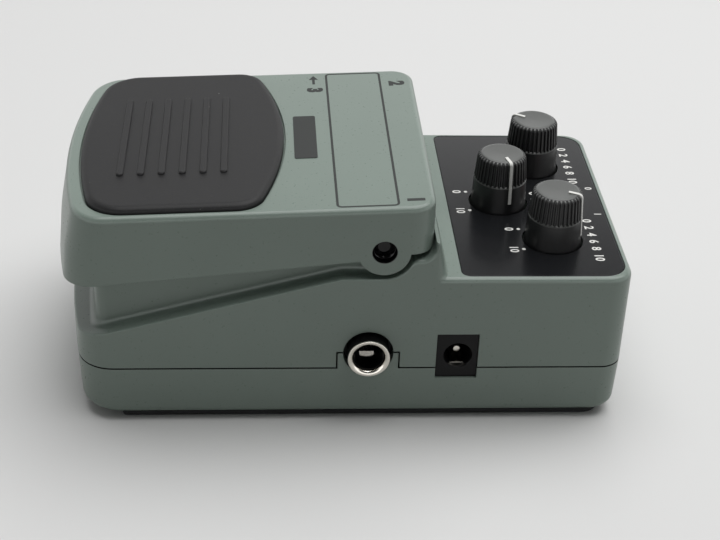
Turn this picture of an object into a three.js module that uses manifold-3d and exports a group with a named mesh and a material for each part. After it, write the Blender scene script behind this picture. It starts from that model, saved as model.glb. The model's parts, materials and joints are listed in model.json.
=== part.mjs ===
import * as THREE from "three";
import { mergeVertices } from "three/addons/utils/BufferGeometryUtils.js";
import Module from "manifold-3d";

const wasm = await Module();
wasm.setup();

// Delay pedal: a grey-green floor unit with a hinged treadle over a battery well, three knobs on a
// rear console, one input and two output sockets, and a power socket.
// Millimetres. +X is the input side, +Y the knob end, +Z up, and the floor is at zero.

// Shared clearances and construction values
const overrun = 2;
const weld = 0.0001;
const seatGap = 0.05;
const slipGap = 0.1;
const bite = 1;
const roundSegments = 20;
const smallSegments = 12;
const tinySegments = 8;
const wideSegments = 36;

// Outline of the housing
const bodyNose = 14.2;
const bodyFrontRadius = 8;
const bodyFrontSweep = 11;
const bodyRear = 61.5;
const bodyRearRadius = 5;
const wall = 2.4;

// Heights of the housing
const matThickness = 1.3;
const matSideInset = 1.9;
const matFrontInset = 11.8;
const matFrontRadius = 1;
const matRearInset = 3.2;
const matRearRadius = 4.2;
const baseRounding = 3;
const baseEndRounding = 5.8;
const trayEndDraft = 0.4;
const floorThickness = 2.3;
const partingHeight = 14;
const partingGap = 0.2;
const consoleTop = 36.75;
const consoleRounding = 1.2;
const roofThickness = 2.25;

// Sloping ledge along the sides
const ledgeKneeOffset = 8.8;
const ledgeWidth = 3.5;
const ledgeAngle = 15.2;
const ledgeFillet = 1.5;
const filletRootShare = 0.75;
const filletToeShare = 0.65;
const filletBendShare = 0.2;

// Raised block that stands under the treadle
const blockFrontInset = 5;
const blockRadius = 3;
const blockFrontSweep = 8;
const blockRearRadius = 0.001;
const blockTop = 41.5;
const blockWall = 2.3;
const deckThickness = 2.5;

// Treadle
const treadleOverhang = 2.6;
const treadleFrontRadius = 8;
const treadleFrontSweep = 10.8;
const treadleWaistRadius = 8.5;
const treadleWaistSweep = 12;
const treadleTopRadius = 9.8;
const treadleTopSweep = 14.5;
const treadleTail = 9.9;
const treadleRearRadius = 4.5;
const treadleTop = 53.4;
const treadleTilt = 2.47;
const treadleRounding = 1.3;
const treadleDraft = 2.6;
const treadleWaistDraft = 1.2;
const treadleWaistDepth = 9;
const treadlePlate = 2.5;
const treadleSkirt = 2.7;
const skirtFrontHeight = 33.92;
const skirtSlope = 6.4;
const skirtCornerRadius = 1;
const skirtCornerReach = 8.9;
const skirtCornerLift = 0.5;
const ribWidth = 1.6;
const ribDepth = 1.4;
const ribPitch = 15;

// Hinge of the treadle
const hingeY = 7.6;
const hingeZ = 43.4;
const earRadius = 5.55;
const earGap = 1.1;
const pinRadius = 2.5;
const pinRecess = 1.3;
const pinCollarRadius = 3.4;
const pinCollarWidth = 2.1;
const pinTailRadius = 1.6;
const pinTailLength = 6.6;
const pinDishRadius = 1.7;
const pinDishDepth = 0.9;
const pinPlay = 0.3;
const hingeWall = 1.7;
const hingeSpringRadius = 2.35;
const hingeSpringWire = 0.35;
const hingeSpringTurns = 5;
const hingeSpringGap = 0.2;
const channelHalfDepth = 3.7;
const channelLength = 12.6;
const hingeBlockRise = 4.8;
const hingeBlockReach = 5.1;
const keeperThickness = 1.4;
const keeperHalfDepth = 4.7;
const keeperEndGap = 1.1;
const keeperScrewRadius = 1.2;
const keeperScrewLength = 8;
const keeperHeadRadius = 2.6;
const keeperHeadDepth = 1;

// Lip that stands behind the treadle
const lipFootReach = 13.4;
const lipMiddleReach = 12.3;
const lipCrestReach = 11.6;
const lipRise = 2.2;
const troughReach = 7.9;
const troughLift = 0.8;
const troughRadius = 2.9;

// Tread pad
const padSideInset = 1.8;
const padFrontInset = 5.75;
const padFrontRadius = 8.5;
const padFrontSweep = 12.5;
const padRear = -13;
const padRearRadius = 6;
const padRearSweep = 18.6;
const padThickness = 1.3;
const padRounding = 1.6;
const padLandShare = 0.35;
const padShoulderShare = 0.8;
const gripCount = 6;
const gripLength = 36;
const gripWidth = 1.5;
const gripPitch = 4.4;
const gripHeight = 0.5;
const gripCentre = -37;

// Battery well and battery
const wellSlack = 1.35;
const wellHingeOffset = 5.4;
const wellPlay = 1;
const wellFloor = 26;
const wellWall = 1.8;
const batteryLength = 48.5;
const batteryWidth = 26.5;
const batteryHeight = 17.5;
const batteryRounding = 2;
const foamThickness = 1.5;
const snapThickness = 4.6;
const snapWidth = 24;
const snapHeight = 11;
const snapGap = 0.2;
const leadRadius = 0.7;
const leadInset = 1.8;
const leadSlotLength = 7.4;
const leadSlotWidth = 6;
const leadSlotY = -11;
const leadSpacing = 2.6;

// Spring under the treadle
const springSpacing = 13.3;
const springRadius = 4.6;
const springWire = 0.45;
const springTurns = 7;
const springSeatRadius = 6;
const springSeatWall = 1.5;
const springSeatDepth = 11.5;
const springStubRadius = 3.7;
const springStubLength = 3;

// Foot switch
const switchBoardGap = 0.8;
const switchSide = 9.6;
const switchHeight = 7;
const switchTopGap = 0.4;
const switchFloor = 0.6;
const buttonRadius = 3;
const buttonLength = 9.7;
const buttonProud = 3.7;
const buttonSlip = 0.25;
const actuatorRadius = 4.2;
const actuatorGap = 0.35;
const actuatorSocketWall = 1.6;
const actuatorSocketDepth = 2.4;
const switchBoardLength = 30;
const switchBoardWidth = 10.2;
const boardThickness = 1.6;
const stakeSpacing = 24;
const stakeRadius = 2.2;
const stakePinRadius = 0.9;
const switchLeadWidth = 3;
const switchLeadThickness = 1;
const switchLeadX = 11;
const switchLeadInset = 2;
const switchLeadDrop = 8;
const switchLeadSag = 3;
const switchLeadRise = 2.4;
const switchLeadLanding = 3;
const switchLeadEnd = 1;
const switchLeadEndRise = 1.6;

// Main circuit board
const boardTop = 11.2;
const boardMargin = 2.4;
const boardFront = -24;
const boardRearInset = 12.5;
const bossRadius = 3;
const bossPilotRadius = 1;
const boardScrewRadius = 0.9;
const boardScrewLength = 6;
const boardHeadRadius = 2.1;
const boardHeadHeight = 1.3;
const boardScrewInset = 9;
const boardScrewFrontY = -18;
const boardScrewRearY = 38;
const chipWidth = 6.4;
const chipHeight = 3.4;
const delayChipLength = 19.5;
const converterChipLength = 9.5;
const chipLegThickness = 0.5;
const chipLegPitch = 2.54;
const chipLegHeight = 0.8;
const delayChipX = -4;
const delayChipY = 30;
const converterChipX = -12;
const converterChipY = 20;
const capacitorRadius = 3.2;
const capacitorHeight = 9;
const capacitorX = 8;
const capacitorY = 40;
const capacitorPitch = 8.5;

// Audio sockets
const jackHeight = 17.94;
const jackY = 5.05;
const directJackY = -14.5;
const jackWidth = 16;
const jackTop = 23.4;
const jackInnerX = 2.6;
const jackEndWall = 1.2;
const jackFaceInset = 2.9;
const jackBoreRadius = 3.28;
const ferruleRadius = 4.575;
const ferruleProud = 2.4;
const ferruleChamfer = 0.15;
const ferruleFlareRadius = 4;
const ferruleFlareDepth = 0.95;
const jackHoleRadius = 5.45;
const contactWidth = 3.2;
const contactThickness = 0.4;
const contactSlotWidth = 3.8;
const contactWall = 0.4;
const contactSlotLength = 16;
const contactSlotDepth = 5.2;
const contactDip = 2.75;
const contactRise = 4.3;
const contactEndGap = 0.4;
const contactCrestShare = 0.09;
const contactBendShare = 0.4;
const tongueHalfWidth = 6.6;
const tongueStep = 0.1;

// Power socket
const powerY = 24.48;
const powerWidth = 9.2;
const powerBottom = 11.19;
const powerTop = 22.7;
const powerRecess = 0.5;
const powerLength = 14;
const powerBoreRadius = 3.05;
const powerBoreDepth = 9.5;
const powerBoreHeight = 16.85;
const powerBoreShift = 0.2;
const powerPinRadius = 1;
const powerPinRecess = 2.5;
const powerPinTipRadius = 0.6;
const powerPinTipLength = 0.6;
const powerLeafWidth = 3;
const powerLeafThickness = 0.4;
const powerLeafLength = 8.45;
const powerLeafDrop = 2.45;

// Control panel and control board
const panelFrontGap = 3.5;
const panelMargin = 1.3;
const panelFrontRadius = 2;
const panelThickness = 0.8;
const controlBoardMargin = 6.5;
const controlBoardFrontGap = 2.5;
const controlBoardRearInset = 3.5;
const controlScrewOffset = 3;
const controlScrewInset = 3.5;
const controlScrewLength = 5.6;
const ledInset = 9.8;
const ledRadius = 1.5;
const ledProud = 0.6;
const ledBodyLength = 4.5;
const ledFlange = 0.35;
const ledLegRadius = 0.35;
const ledLegOffset = 0.9;

// Knobs and the controls under them
const knobSpacing = 17;
const knobRearInset = 15.3;
const knobFrontGap = 11.8;
const knobHeight = 12.45;
const knobTopRadius = 5.4;
const knobKnurlRadius = 5.95;
const knobSkirtRadius = 6.3;
const knobSkirtHeight = 6.55;
const knobSink = 1.15;
const knobPotGap = 1.75;
const knobRibs = 36;
const knobRibDepth = 0.35;
const knobEdge = 0.5;
const knobHoleGap = 0.45;
const knobBoreDepth = 10.9;
const pointerWidth = 0.8;
const pointerProud = 0.15;
const pointerInner = 2.4;
const pointerLift = 2.45;
const rateAngle = 238;
const levelAngle = 15;
const intensityAngle = 64;
const shaftRadius = 3;
const shaftSink = 3.4;
const shaftRecess = 2.8;
const potWidth = 9.6;
const potDepth = 11;
const potHeight = 6.2;
const potBoreGap = 0.15;

// Ribbon between the boards
const ribbonInset = 2.5;
const ribbonWidth = 12;
const ribbonThickness = 0.9;
const ribbonBow = 1.4;

// Screws that close the housing
const screwSideInset = 6.5;
const screwFrontInset = 16.5;
const screwRearInset = 6.3;
const screwHeadRadius = 2.9;
const screwHeadHeight = 2.2;
const screwRadius = 1.5;
const screwSeat = 5;
const screwReach = 15;
const postRadius = 3.5;
const screwPilotGap = 0.12;
const screwHoleGap = 0.3;

// Sizes that follow from the ones above
const upperBottom = partingHeight + partingGap / 2;
const lowerTop = partingHeight - partingGap / 2;
const wellRear = hingeY - wellHingeOffset;
const wellFront = wellRear - batteryWidth - wellPlay;
const switchY = wellFront - wellWall - switchBoardGap - switchBoardWidth / 2;
const springY = switchY - springSpacing;
const bodyFront = springY - bodyNose;
const wellHalfWidth = (batteryLength + snapGap + snapThickness) / 2 + wellSlack;
const blockHalfWidth = wellHalfWidth + blockWall;
const bodyHalfWidth = blockHalfWidth + ledgeWidth;
const upperInside = bodyHalfWidth - wall;
const blockFront = bodyFront + blockFrontInset;
const treadleFront = bodyFront - treadleOverhang;
const treadleRear = hingeY + treadleTail;
const ledgeKnee = hingeY - ledgeKneeOffset;
const skirtCornerY = hingeY + skirtCornerReach;
const skirtCornerZ = hingeZ + skirtCornerLift;
const hingeBlockTop = hingeZ + hingeBlockRise;
const hingeBlockRear = hingeY + hingeBlockReach;
const lipFoot = hingeY + lipFootReach;
const lipMiddle = hingeY + lipMiddleReach;
const lipCrest = hingeY + lipCrestReach;
const lipTop = hingeZ + lipRise;
const troughY = hingeY + troughReach;
const troughZ = hingeZ + troughLift;
const padHalfWidth = bodyHalfWidth - padSideInset;
const padFront = treadleFront + padFrontInset;
const screwX = bodyHalfWidth - screwSideInset;
const screwFrontY = bodyFront + screwFrontInset;
const screwRearY = bodyRear - screwRearInset;
const panelFront = lipFoot + panelFrontGap;
const knobRearY = bodyRear - knobRearInset;
const knobFrontY = panelFront + knobFrontGap;
const ledY = bodyRear - ledInset;
const boardHalfWidth = upperInside - boardMargin;
const boardRear = bodyRear - boardRearInset;
const boardScrewX = boardHalfWidth - boardScrewInset;
const ribbonY = boardRear - ribbonInset;
const jackFaceX = bodyHalfWidth - jackFaceInset;
const ferruleFaceX = bodyHalfWidth + ferruleProud;
const contactSlotFront = jackFaceX - contactWall;
const contactSlotRear = contactSlotFront - contactSlotLength;
const knobTop = consoleTop + knobHeight;
const knobKnurlHeight = consoleTop + knobSkirtHeight;
const knobBottom = consoleTop - knobSink;
const pointerBottom = consoleTop + pointerLift;
const controlBoardTop = knobBottom - knobPotGap - potHeight - seatGap;
const controlBoardHeight = controlBoardTop - boardThickness;
const controlBoardHalfWidth = knobSpacing + controlBoardMargin;
const controlBoardFront = panelFront + controlBoardFrontGap;
const controlBoardRear = bodyRear - controlBoardRearInset;
const controlScrewX = knobSpacing + controlScrewOffset;
const controlScrewY = controlBoardFront + controlScrewInset;
const shaftBottom = controlBoardTop + shaftSink;
const shaftTop = knobTop - shaftRecess;
const wellUnder = wellFloor - wellWall;
const deckUnder = blockTop - deckThickness;
const blockInside = blockHalfWidth - blockWall;
const roofUnder = consoleTop - roofThickness;
const boardUnder = boardTop - boardThickness;
const hingeWallX = blockHalfWidth - hingeWall;
const channelInnerX = hingeWallX - channelLength;
const keeperHalfWidth = blockHalfWidth - keeperEndGap;
const channelFloor = hingeZ - channelHalfDepth;
const saddleRoof = channelFloor - deckThickness;
const springSeat = blockTop - springSeatDepth;
const switchTop = deckUnder - switchTopGap;
const switchBase = switchTop - switchHeight;
const buttonTop = blockTop + buttonProud;
const insideFloor = matThickness + floorThickness;

const { degToRad } = THREE.MathUtils;
const ledgeRise = Math.tan(degToRad(ledgeAngle));
const blockBow = (blockHalfWidth * Math.tan(degToRad(blockFrontSweep))) / 2;
const skirtRise = Math.tan(degToRad(skirtSlope));
const treadleRise = Math.tan(degToRad(treadleTilt));

const finish = (color, roughness, metalness = 0) =>
  new THREE.MeshStandardMaterial({ color, roughness, metalness });
const housingGreen = finish(0x6f7f76, 0.5);
const treadleGreen = finish(0x6f7f76, 0.48);
const padRubber = finish(0x2c2c2e, 0.75);
const matRubber = finish(0x1b1c1d, 0.9);
const panelBlack = finish(0x17181a, 0.45);
const knobBlack = finish(0x2b2b2c, 0.5);
const blackPlastic = finish(0x141415, 0.4);
const nickel = finish(0xc9c6bf, 0.25, 1);
const steel = finish(0x9a9b9c, 0.35, 1);
const boardGreen = finish(0x1f5a38, 0.55);
const chipBlack = finish(0x1a1a1b, 0.6);
const canBlue = finish(0x24345e, 0.4);
const batteryCase = finish(0x3a3d42, 0.4);
const foamGrey = finish(0x505254, 1);
const leadRed = finish(0xa02020, 0.5);
const leadBlack = finish(0x161616, 0.5);
const ribbonGrey = finish(0x8d9196, 0.6);
const ledRed = finish(0xb01818, 0.2);
const pinBlack = finish(0x121213, 0.4);

// A closed geometry as a solid that can be cut and joined.
function solid(geometry) {
  const bare = geometry.index ? geometry.toNonIndexed() : geometry.clone();
  for (const name of Object.keys(bare.attributes)) {
    if (name !== "position") bare.deleteAttribute(name);
  }
  const merged = mergeVertices(bare, weld);
  return new wasm.Manifold(
    new wasm.Mesh({
      numProp: 3,
      vertProperties: merged.attributes.position.array,
      triVerts: new Uint32Array(merged.index.array),
    }),
  );
}

// A named mesh made from a solid.
function piece(name, body, material) {
  const made = body.getMesh();
  const geometry = new THREE.BufferGeometry();
  geometry.setAttribute("position", new THREE.BufferAttribute(new Float32Array(made.vertProperties), 3));
  geometry.setIndex(new THREE.BufferAttribute(new Uint32Array(made.triVerts), 1));
  geometry.computeVertexNormals();
  const mesh = new THREE.Mesh(geometry, material);
  mesh.name = name;
  return mesh;
}

// A box between two corners.
function block(low, high) {
  const size = high.map((value, axis) => value - low[axis]);
  const middle = high.map((value, axis) => (value + low[axis]) / 2);
  return solid(new THREE.BoxGeometry(...size).translate(...middle));
}

// A round bar from one end along an axis, tapering where the two radii differ.
function bar(axis, from, to, centre, radius, farRadius = radius, segments = roundSegments) {
  const geometry = new THREE.CylinderGeometry(farRadius, radius, to - from, segments);
  geometry.translate(0, (to + from) / 2, 0);
  if (axis === "z") geometry.rotateX(Math.PI / 2).translate(centre[0], centre[1], 0);
  if (axis === "x") geometry.rotateZ(-Math.PI / 2).translate(0, centre[0], centre[1]);
  if (axis === "y") geometry.translate(centre[0], 0, centre[1]);
  return solid(geometry);
}

const alongX = new THREE.Matrix4().set(0, 0, 1, 0, 1, 0, 0, 0, 0, 1, 0, 0, 0, 0, 0, 1);
const alongY = new THREE.Matrix4().makeRotationX(Math.PI / 2);

// An outline in Y and Z drawn out along X.
function sideProfile(points, fromX, toX) {
  const shape = new THREE.Shape(points.map(([y, z]) => new THREE.Vector2(y, z)));
  const geometry = new THREE.ExtrudeGeometry(shape, { depth: toX - fromX, bevelEnabled: false });
  return solid(geometry.applyMatrix4(alongX).translate(fromX, 0, 0));
}

// An outline in X and Z drawn out along Y.
function frontProfile(points, fromY, toY) {
  const shape = new THREE.Shape(points.map(([x, z]) => new THREE.Vector2(x, z)));
  const geometry = new THREE.ExtrudeGeometry(shape, { depth: toY - fromY, bevelEnabled: false });
  return solid(geometry.applyMatrix4(alongY).translate(0, toY, 0));
}

// An outline in X and Y drawn up along Z.
function planProfile(points, fromZ, toZ) {
  const shape = new THREE.Shape(points.map((p) => new THREE.Vector2(p.x, p.y)));
  const geometry = new THREE.ExtrudeGeometry(shape, { depth: toZ - fromZ, bevelEnabled: false });
  return solid(geometry.translate(0, 0, fromZ));
}

// A skin through rings of equal point counts, from the lowest to the highest, closed at both ends.
function loft(rings) {
  const count = rings[0].length;
  const corners = rings.flatMap((ring) => ring.flatMap((p) => [p.x, p.y, p.z]));
  const faces = [];
  for (let level = 0; level < rings.length - 1; level += 1) {
    for (let i = 0; i < count; i += 1) {
      const a = level * count + i;
      const b = level * count + ((i + 1) % count);
      faces.push(a, b, b + count, a, b + count, a + count);
    }
  }
  const flat = (ring) => ring.map((p) => new THREE.Vector2(p.x, p.y));
  for (const [a, b, c] of THREE.ShapeUtils.triangulateShape(flat(rings[0]), [])) faces.push(a, c, b);
  const top = (rings.length - 1) * count;
  for (const [a, b, c] of THREE.ShapeUtils.triangulateShape(flat(rings.at(-1)), [])) {
    faces.push(top + a, top + b, top + c);
  }
  const geometry = new THREE.BufferGeometry();
  geometry.setAttribute("position", new THREE.BufferAttribute(new Float32Array(corners), 3));
  geometry.setIndex(faces);
  return solid(geometry);
}

// A plan outline with round corners, whose front and rear edges bow outwards by the sweep angles.
function sweptOutline(form, inset, divisions = 4) {
  const { halfWidth, front, frontRadius, frontSweep, rear, rearRadius, rearSweep } = form;
  const cornerOf = (radius, sweep) => {
    const angle = degToRad(sweep);
    const endX = halfWidth - radius + radius * Math.sin(angle);
    return { angle, drop: radius * Math.cos(angle) + (endX * Math.tan(angle)) / 2 };
  };
  const f = cornerOf(frontRadius, frontSweep);
  const r = cornerOf(rearRadius, rearSweep);
  const frontY = front + f.drop;
  const rearY = rear - r.drop;
  const frontX = halfWidth - frontRadius;
  const rearX = halfWidth - rearRadius;
  const path = new THREE.Path();
  const bow = (radius, centreX, centreY, angle, side) => {
    const endX = centreX + (radius - inset) * Math.sin(angle);
    const endY = centreY + side * (radius - inset) * Math.cos(angle);
    path.quadraticCurveTo(0, endY + side * endX * Math.tan(angle), -side * endX, endY);
  };
  path.moveTo(halfWidth - inset, frontY);
  path.absarc(rearX, rearY, rearRadius - inset, 0, Math.PI / 2 - r.angle, false);
  bow(rearRadius, rearX, rearY, r.angle, 1);
  path.absarc(-rearX, rearY, rearRadius - inset, Math.PI / 2 + r.angle, Math.PI, false);
  path.absarc(-frontX, frontY, frontRadius - inset, Math.PI, Math.PI * 1.5 - f.angle, false);
  bow(frontRadius, frontX, frontY, f.angle, -1);
  path.absarc(frontX, frontY, frontRadius - inset, Math.PI * 1.5 + f.angle, Math.PI * 2, false);
  const points = path.getPoints(divisions);
  return points.filter((p, i) => p.distanceTo(points[(i + 1) % points.length]) > weld);
}

// A rectangle in plan whose front and rear corners have their own radii.
function roundedPlan(half, front, frontRadius, rear, rearRadius) {
  const shape = new THREE.Shape();
  shape.absarc(half - rearRadius, rear - rearRadius, rearRadius, 0, Math.PI / 2, false);
  shape.absarc(rearRadius - half, rear - rearRadius, rearRadius, Math.PI / 2, Math.PI, false);
  shape.absarc(frontRadius - half, front + frontRadius, frontRadius, Math.PI, Math.PI * 1.5, false);
  shape.absarc(half - frontRadius, front + frontRadius, frontRadius, Math.PI * 1.5, Math.PI * 2, false);
  return shape.getPoints(3).slice(0, -1);
}

const bodyForm = {
  halfWidth: bodyHalfWidth,
  front: bodyFront,
  frontRadius: bodyFrontRadius,
  frontSweep: bodyFrontSweep,
  rear: bodyRear,
  rearRadius: bodyRearRadius,
  rearSweep: 0,
};
const treadleForm = {
  halfWidth: bodyHalfWidth,
  front: treadleFront,
  frontRadius: treadleFrontRadius,
  frontSweep: treadleFrontSweep,
  rear: treadleRear,
  rearRadius: treadleRearRadius,
  rearSweep: 0,
};
const padForm = {
  halfWidth: padHalfWidth,
  front: padFront,
  frontRadius: padFrontRadius,
  frontSweep: padFrontSweep,
  rear: padRear,
  rearRadius: padRearRadius,
  rearSweep: padRearSweep,
};
const level = (points, z) => points.map((p) => new THREE.Vector3(p.x, p.y, z));

const ledgeHeight = (y) => consoleTop - (ledgeKnee - y) * ledgeRise;
const treadleHeight = (y) => treadleTop + y * treadleRise;
const skirtHeight = (y) => skirtFrontHeight + (y - treadleFront) * skirtRise;

// The least gap between the turns of a coil, measured on the points along its centre line.
function leastGap(name, centres, perTurn, wire) {
  let least = Infinity;
  centres.forEach((a, i) => {
    for (let j = i + Math.floor(perTurn / 2); j < centres.length; j += 1) {
      least = Math.min(least, a.distanceTo(centres[j]));
    }
  });
  console.log(`${name}: least gap between turns ${(least - wire * 2).toFixed(2)} mm`);
}

// A coil spring about Z, wound as one tube of five sides with eight steps a turn.
function coil(name, radius, wire, turns, bottom, top) {
  const perTurn = 8;
  const sides = 5;
  const steps = turns * perTurn;
  const centres = [];
  const corners = [];
  for (let i = 0; i <= steps; i += 1) {
    const angle = (i / perTurn) * Math.PI * 2;
    const z = bottom + wire + ((top - bottom - wire * 2) * i) / steps;
    centres.push(new THREE.Vector3(radius * Math.cos(angle), radius * Math.sin(angle), z));
    for (let k = 0; k < sides; k += 1) {
      const turn = (k / sides) * Math.PI * 2;
      const reach = radius + wire * Math.cos(turn);
      corners.push(reach * Math.cos(angle), reach * Math.sin(angle), z + wire * Math.sin(turn));
    }
  }
  const faces = [];
  for (let i = 0; i < steps; i += 1) {
    for (let k = 0; k < sides; k += 1) {
      const a = i * sides + k;
      const b = i * sides + ((k + 1) % sides);
      faces.push(a, b + sides, b, a, a + sides, b + sides);
    }
  }
  const last = steps * sides;
  for (let k = 1; k < sides - 1; k += 1) {
    faces.push(0, k, k + 1, last, last + k + 1, last + k);
  }
  leastGap(name, centres, perTurn, wire);
  const geometry = new THREE.BufferGeometry();
  geometry.setAttribute("position", new THREE.BufferAttribute(new Float32Array(corners), 3));
  geometry.setIndex(faces);
  return geometry;
}

// A thin round lead along a curve through chosen points.
function lead(points, radius) {
  const route = new THREE.CatmullRomCurve3(points.map((p) => new THREE.Vector3(...p)));
  const ring = new THREE.Shape();
  ring.absarc(0, 0, radius, 0, Math.PI * 2, false);
  const geometry = new THREE.ExtrudeGeometry(ring, { steps: 12, extrudePath: route, curveSegments: 3 });
  return solid(geometry);
}

// A flat strip in a Y and Z plane: the centre line thickened and drawn out along X.
function strip(line, thickness, fromX, toX) {
  const normals = line.map((p, i) => {
    const before = line[Math.max(i - 1, 0)];
    const after = line[Math.min(i + 1, line.length - 1)];
    const along = new THREE.Vector2(after[0] - before[0], after[1] - before[1]).normalize();
    return [(-along.y * thickness) / 2, (along.x * thickness) / 2];
  });
  const one = line.map((p, i) => [p[0] + normals[i][0], p[1] + normals[i][1]]);
  const other = line.map((p, i) => [p[0] - normals[i][0], p[1] - normals[i][1]]).reverse();
  return sideProfile([...one, ...other], fromX, toX);
}

const bothSides = (make) => make(1).add(make(-1));
const acrossX = (side, near, far) => (side > 0 ? [near, far] : [-far, -near]);
const screwSpots = [
  ["front_left", -screwX, screwFrontY],
  ["front_right", screwX, screwFrontY],
  ["rear_left", -screwX, screwRearY],
  ["rear_right", screwX, screwRearY],
];
const jackSpots = [
  ["in_jack", 1, jackY],
  ["out_jack", -1, jackY],
  ["direct_jack", -1, directJackY],
];
const knobSpots = [
  ["rate", -knobSpacing, knobRearY, rateAngle],
  ["level", 0, knobFrontY, levelAngle],
  ["intensity", knobSpacing, knobRearY, intensityAngle],
];

// The step in the parting line that carries the lower half of a socket's hole.
function tongue(side, y, grow, bottom) {
  const [fromX, toX] = acrossX(side, upperInside, bodyHalfWidth + grow * overrun);
  const half = tongueHalfWidth + grow * partingGap;
  return block([fromX - grow, y - half, bottom], [toX + grow, y + half, jackHeight + grow * partingGap]);
}

// The hole through the wall for a socket's ferrule.
function jackHole(side, y) {
  const [fromX, toX] = acrossX(side, upperInside - overrun, bodyHalfWidth + overrun);
  return bar("x", fromX, toX, [y, jackHeight], jackHoleRadius);
}

// The opening in the wall for the power socket.
function powerOpening() {
  return block(
    [upperInside - overrun, powerY - powerWidth / 2, powerBottom],
    [bodyHalfWidth + overrun, powerY + powerWidth / 2, powerTop],
  );
}

// Outer form of the upper shell, before it is hollowed.
function upperForm() {
  const outline = (inset, z) => level(sweptOutline(bodyForm, inset), z);
  const softening = consoleRounding * (1 - Math.SQRT1_2);
  let form = loft([
    outline(0, upperBottom),
    outline(0, consoleTop - consoleRounding),
    outline(softening, consoleTop - softening),
    outline(consoleRounding, consoleTop),
  ]);
  const beyond = bodyFront - overrun;
  const slope = sideProfile(
    [
      [beyond, ledgeHeight(beyond)],
      [ledgeKnee, consoleTop],
      [ledgeKnee, consoleTop + overrun],
      [beyond, consoleTop + overrun],
    ],
    -bodyHalfWidth - overrun,
    bodyHalfWidth + overrun,
  );
  form = form.subtract(slope);
  return form.add(ledgeFillets()).add(cradle()).add(raisedBlock());
}

// Small fillets where the ledge meets the raised block, sheared to follow the slope.
function ledgeFillets() {
  const front = blockFront + blockRadius + blockBow;
  const reach = bodyHalfWidth - blockHalfWidth;
  const shear = new THREE.Matrix4().makeShear(0, 0, 0, 0, 0, -ledgeRise);
  const wedge = (side) => {
    const shape = new THREE.Shape();
    shape.moveTo(side * (blockHalfWidth - blockWall), -wall);
    shape.lineTo(side * (blockHalfWidth + reach * filletRootShare), -wall);
    shape.lineTo(side * (blockHalfWidth + reach * filletToeShare), 0);
    shape.quadraticCurveTo(
      side * (blockHalfWidth + reach * filletBendShare),
      ledgeFillet * filletBendShare,
      side * blockHalfWidth,
      ledgeFillet,
    );
    shape.lineTo(side * (blockHalfWidth - blockWall), ledgeFillet);
    const depth = ledgeKnee - front;
    const geometry = new THREE.ExtrudeGeometry(shape, { depth, bevelEnabled: false, curveSegments: 3 });
    geometry.applyMatrix4(shear);
    return solid(geometry.applyMatrix4(alongY).translate(0, ledgeKnee, consoleTop));
  };
  return bothSides(wedge);
}

// Cheeks beside the hinge ears and the lip behind the treadle.
function cradle() {
  const outline = [
    [hingeY, partingHeight + wall],
    [lipFoot, partingHeight + wall],
    [lipFoot, consoleTop + consoleRounding],
    [lipMiddle, (consoleTop + lipTop * 2) / 3],
    [lipCrest, lipTop],
    [hingeY, lipTop],
  ];
  const outer = bodyHalfWidth;
  const reach = [-outer - overrun, outer + overrun];
  const trough = [
    [hingeY, lipTop + overrun],
    [hingeY, troughZ - troughRadius],
  ];
  for (const angle of [270, 290, 310, 330, 350]) {
    const turn = degToRad(angle);
    trough.push([troughY + troughRadius * Math.cos(turn), troughZ + troughRadius * Math.sin(turn)]);
  }
  trough.push([troughY + troughRadius, troughZ + troughRadius / 2]);
  trough.push([troughY + troughRadius, lipTop + overrun]);
  return sideProfile(outline, -outer, outer)
    .subtract(bar("x", ...reach, [hingeY, hingeZ], earRadius + earGap))
    .subtract(sideProfile(trough, ...reach));
}

// The block under the treadle and the higher part that holds the hinge pins.
function raisedBlock() {
  const form = {
    halfWidth: blockHalfWidth,
    front: blockFront,
    frontRadius: blockRadius,
    frontSweep: blockFrontSweep,
    rear: hingeBlockRear,
    rearRadius: blockRearRadius,
    rearSweep: 0,
  };
  const outline = sweptOutline(form, 0, 2);
  const low = planProfile(outline, partingHeight + wall, blockTop);
  const high = block(
    [-blockHalfWidth, wellRear, deckUnder],
    [blockHalfWidth, hingeBlockRear, hingeBlockTop],
  );
  return low.add(high);
}

// Everything that is hollow inside the upper shell.
function upperHollows() {
  const inner = sweptOutline(bodyForm, wall);
  const beyond = bodyFront - overrun;
  const meets = ledgeKnee - (consoleTop - roofThickness - wellUnder) / ledgeRise;
  const underLedge = sideProfile(
    [
      [beyond, 0],
      [bodyRear, 0],
      [bodyRear, wellUnder],
      [meets, wellUnder],
      [beyond, ledgeHeight(beyond) - roofThickness],
    ],
    -bodyHalfWidth,
    bodyHalfWidth,
  );
  const main = planProfile(inner, upperBottom - overrun, wellUnder).intersect(underLedge);
  const consoleRoom = planProfile(inner, partingHeight, roofUnder).intersect(
    block([-bodyHalfWidth, lipFoot - wall - overrun, 0], [bodyHalfWidth, bodyRear, consoleTop]),
  );
  const frontForm = {
    halfWidth: blockInside,
    front: blockFront + blockWall,
    frontRadius: blockRadius - blockWall,
    frontSweep: blockFrontSweep,
    rear: wellFront - wellWall,
    rearRadius: blockRearRadius,
    rearSweep: 0,
  };
  const frontRoom = planProfile(sweptOutline(frontForm, 0, 2), partingHeight, deckUnder);
  const saddleRoom = block(
    [-blockInside, wellRear + wellWall, partingHeight],
    [blockInside, lipFoot - wall, saddleRoof],
  );
  const well = block(
    [-wellHalfWidth, wellFront, wellFloor],
    [wellHalfWidth, wellRear, blockTop + overrun],
  );
  return main.add(consoleRoom).add(frontRoom).add(saddleRoom).add(well);
}

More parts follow.
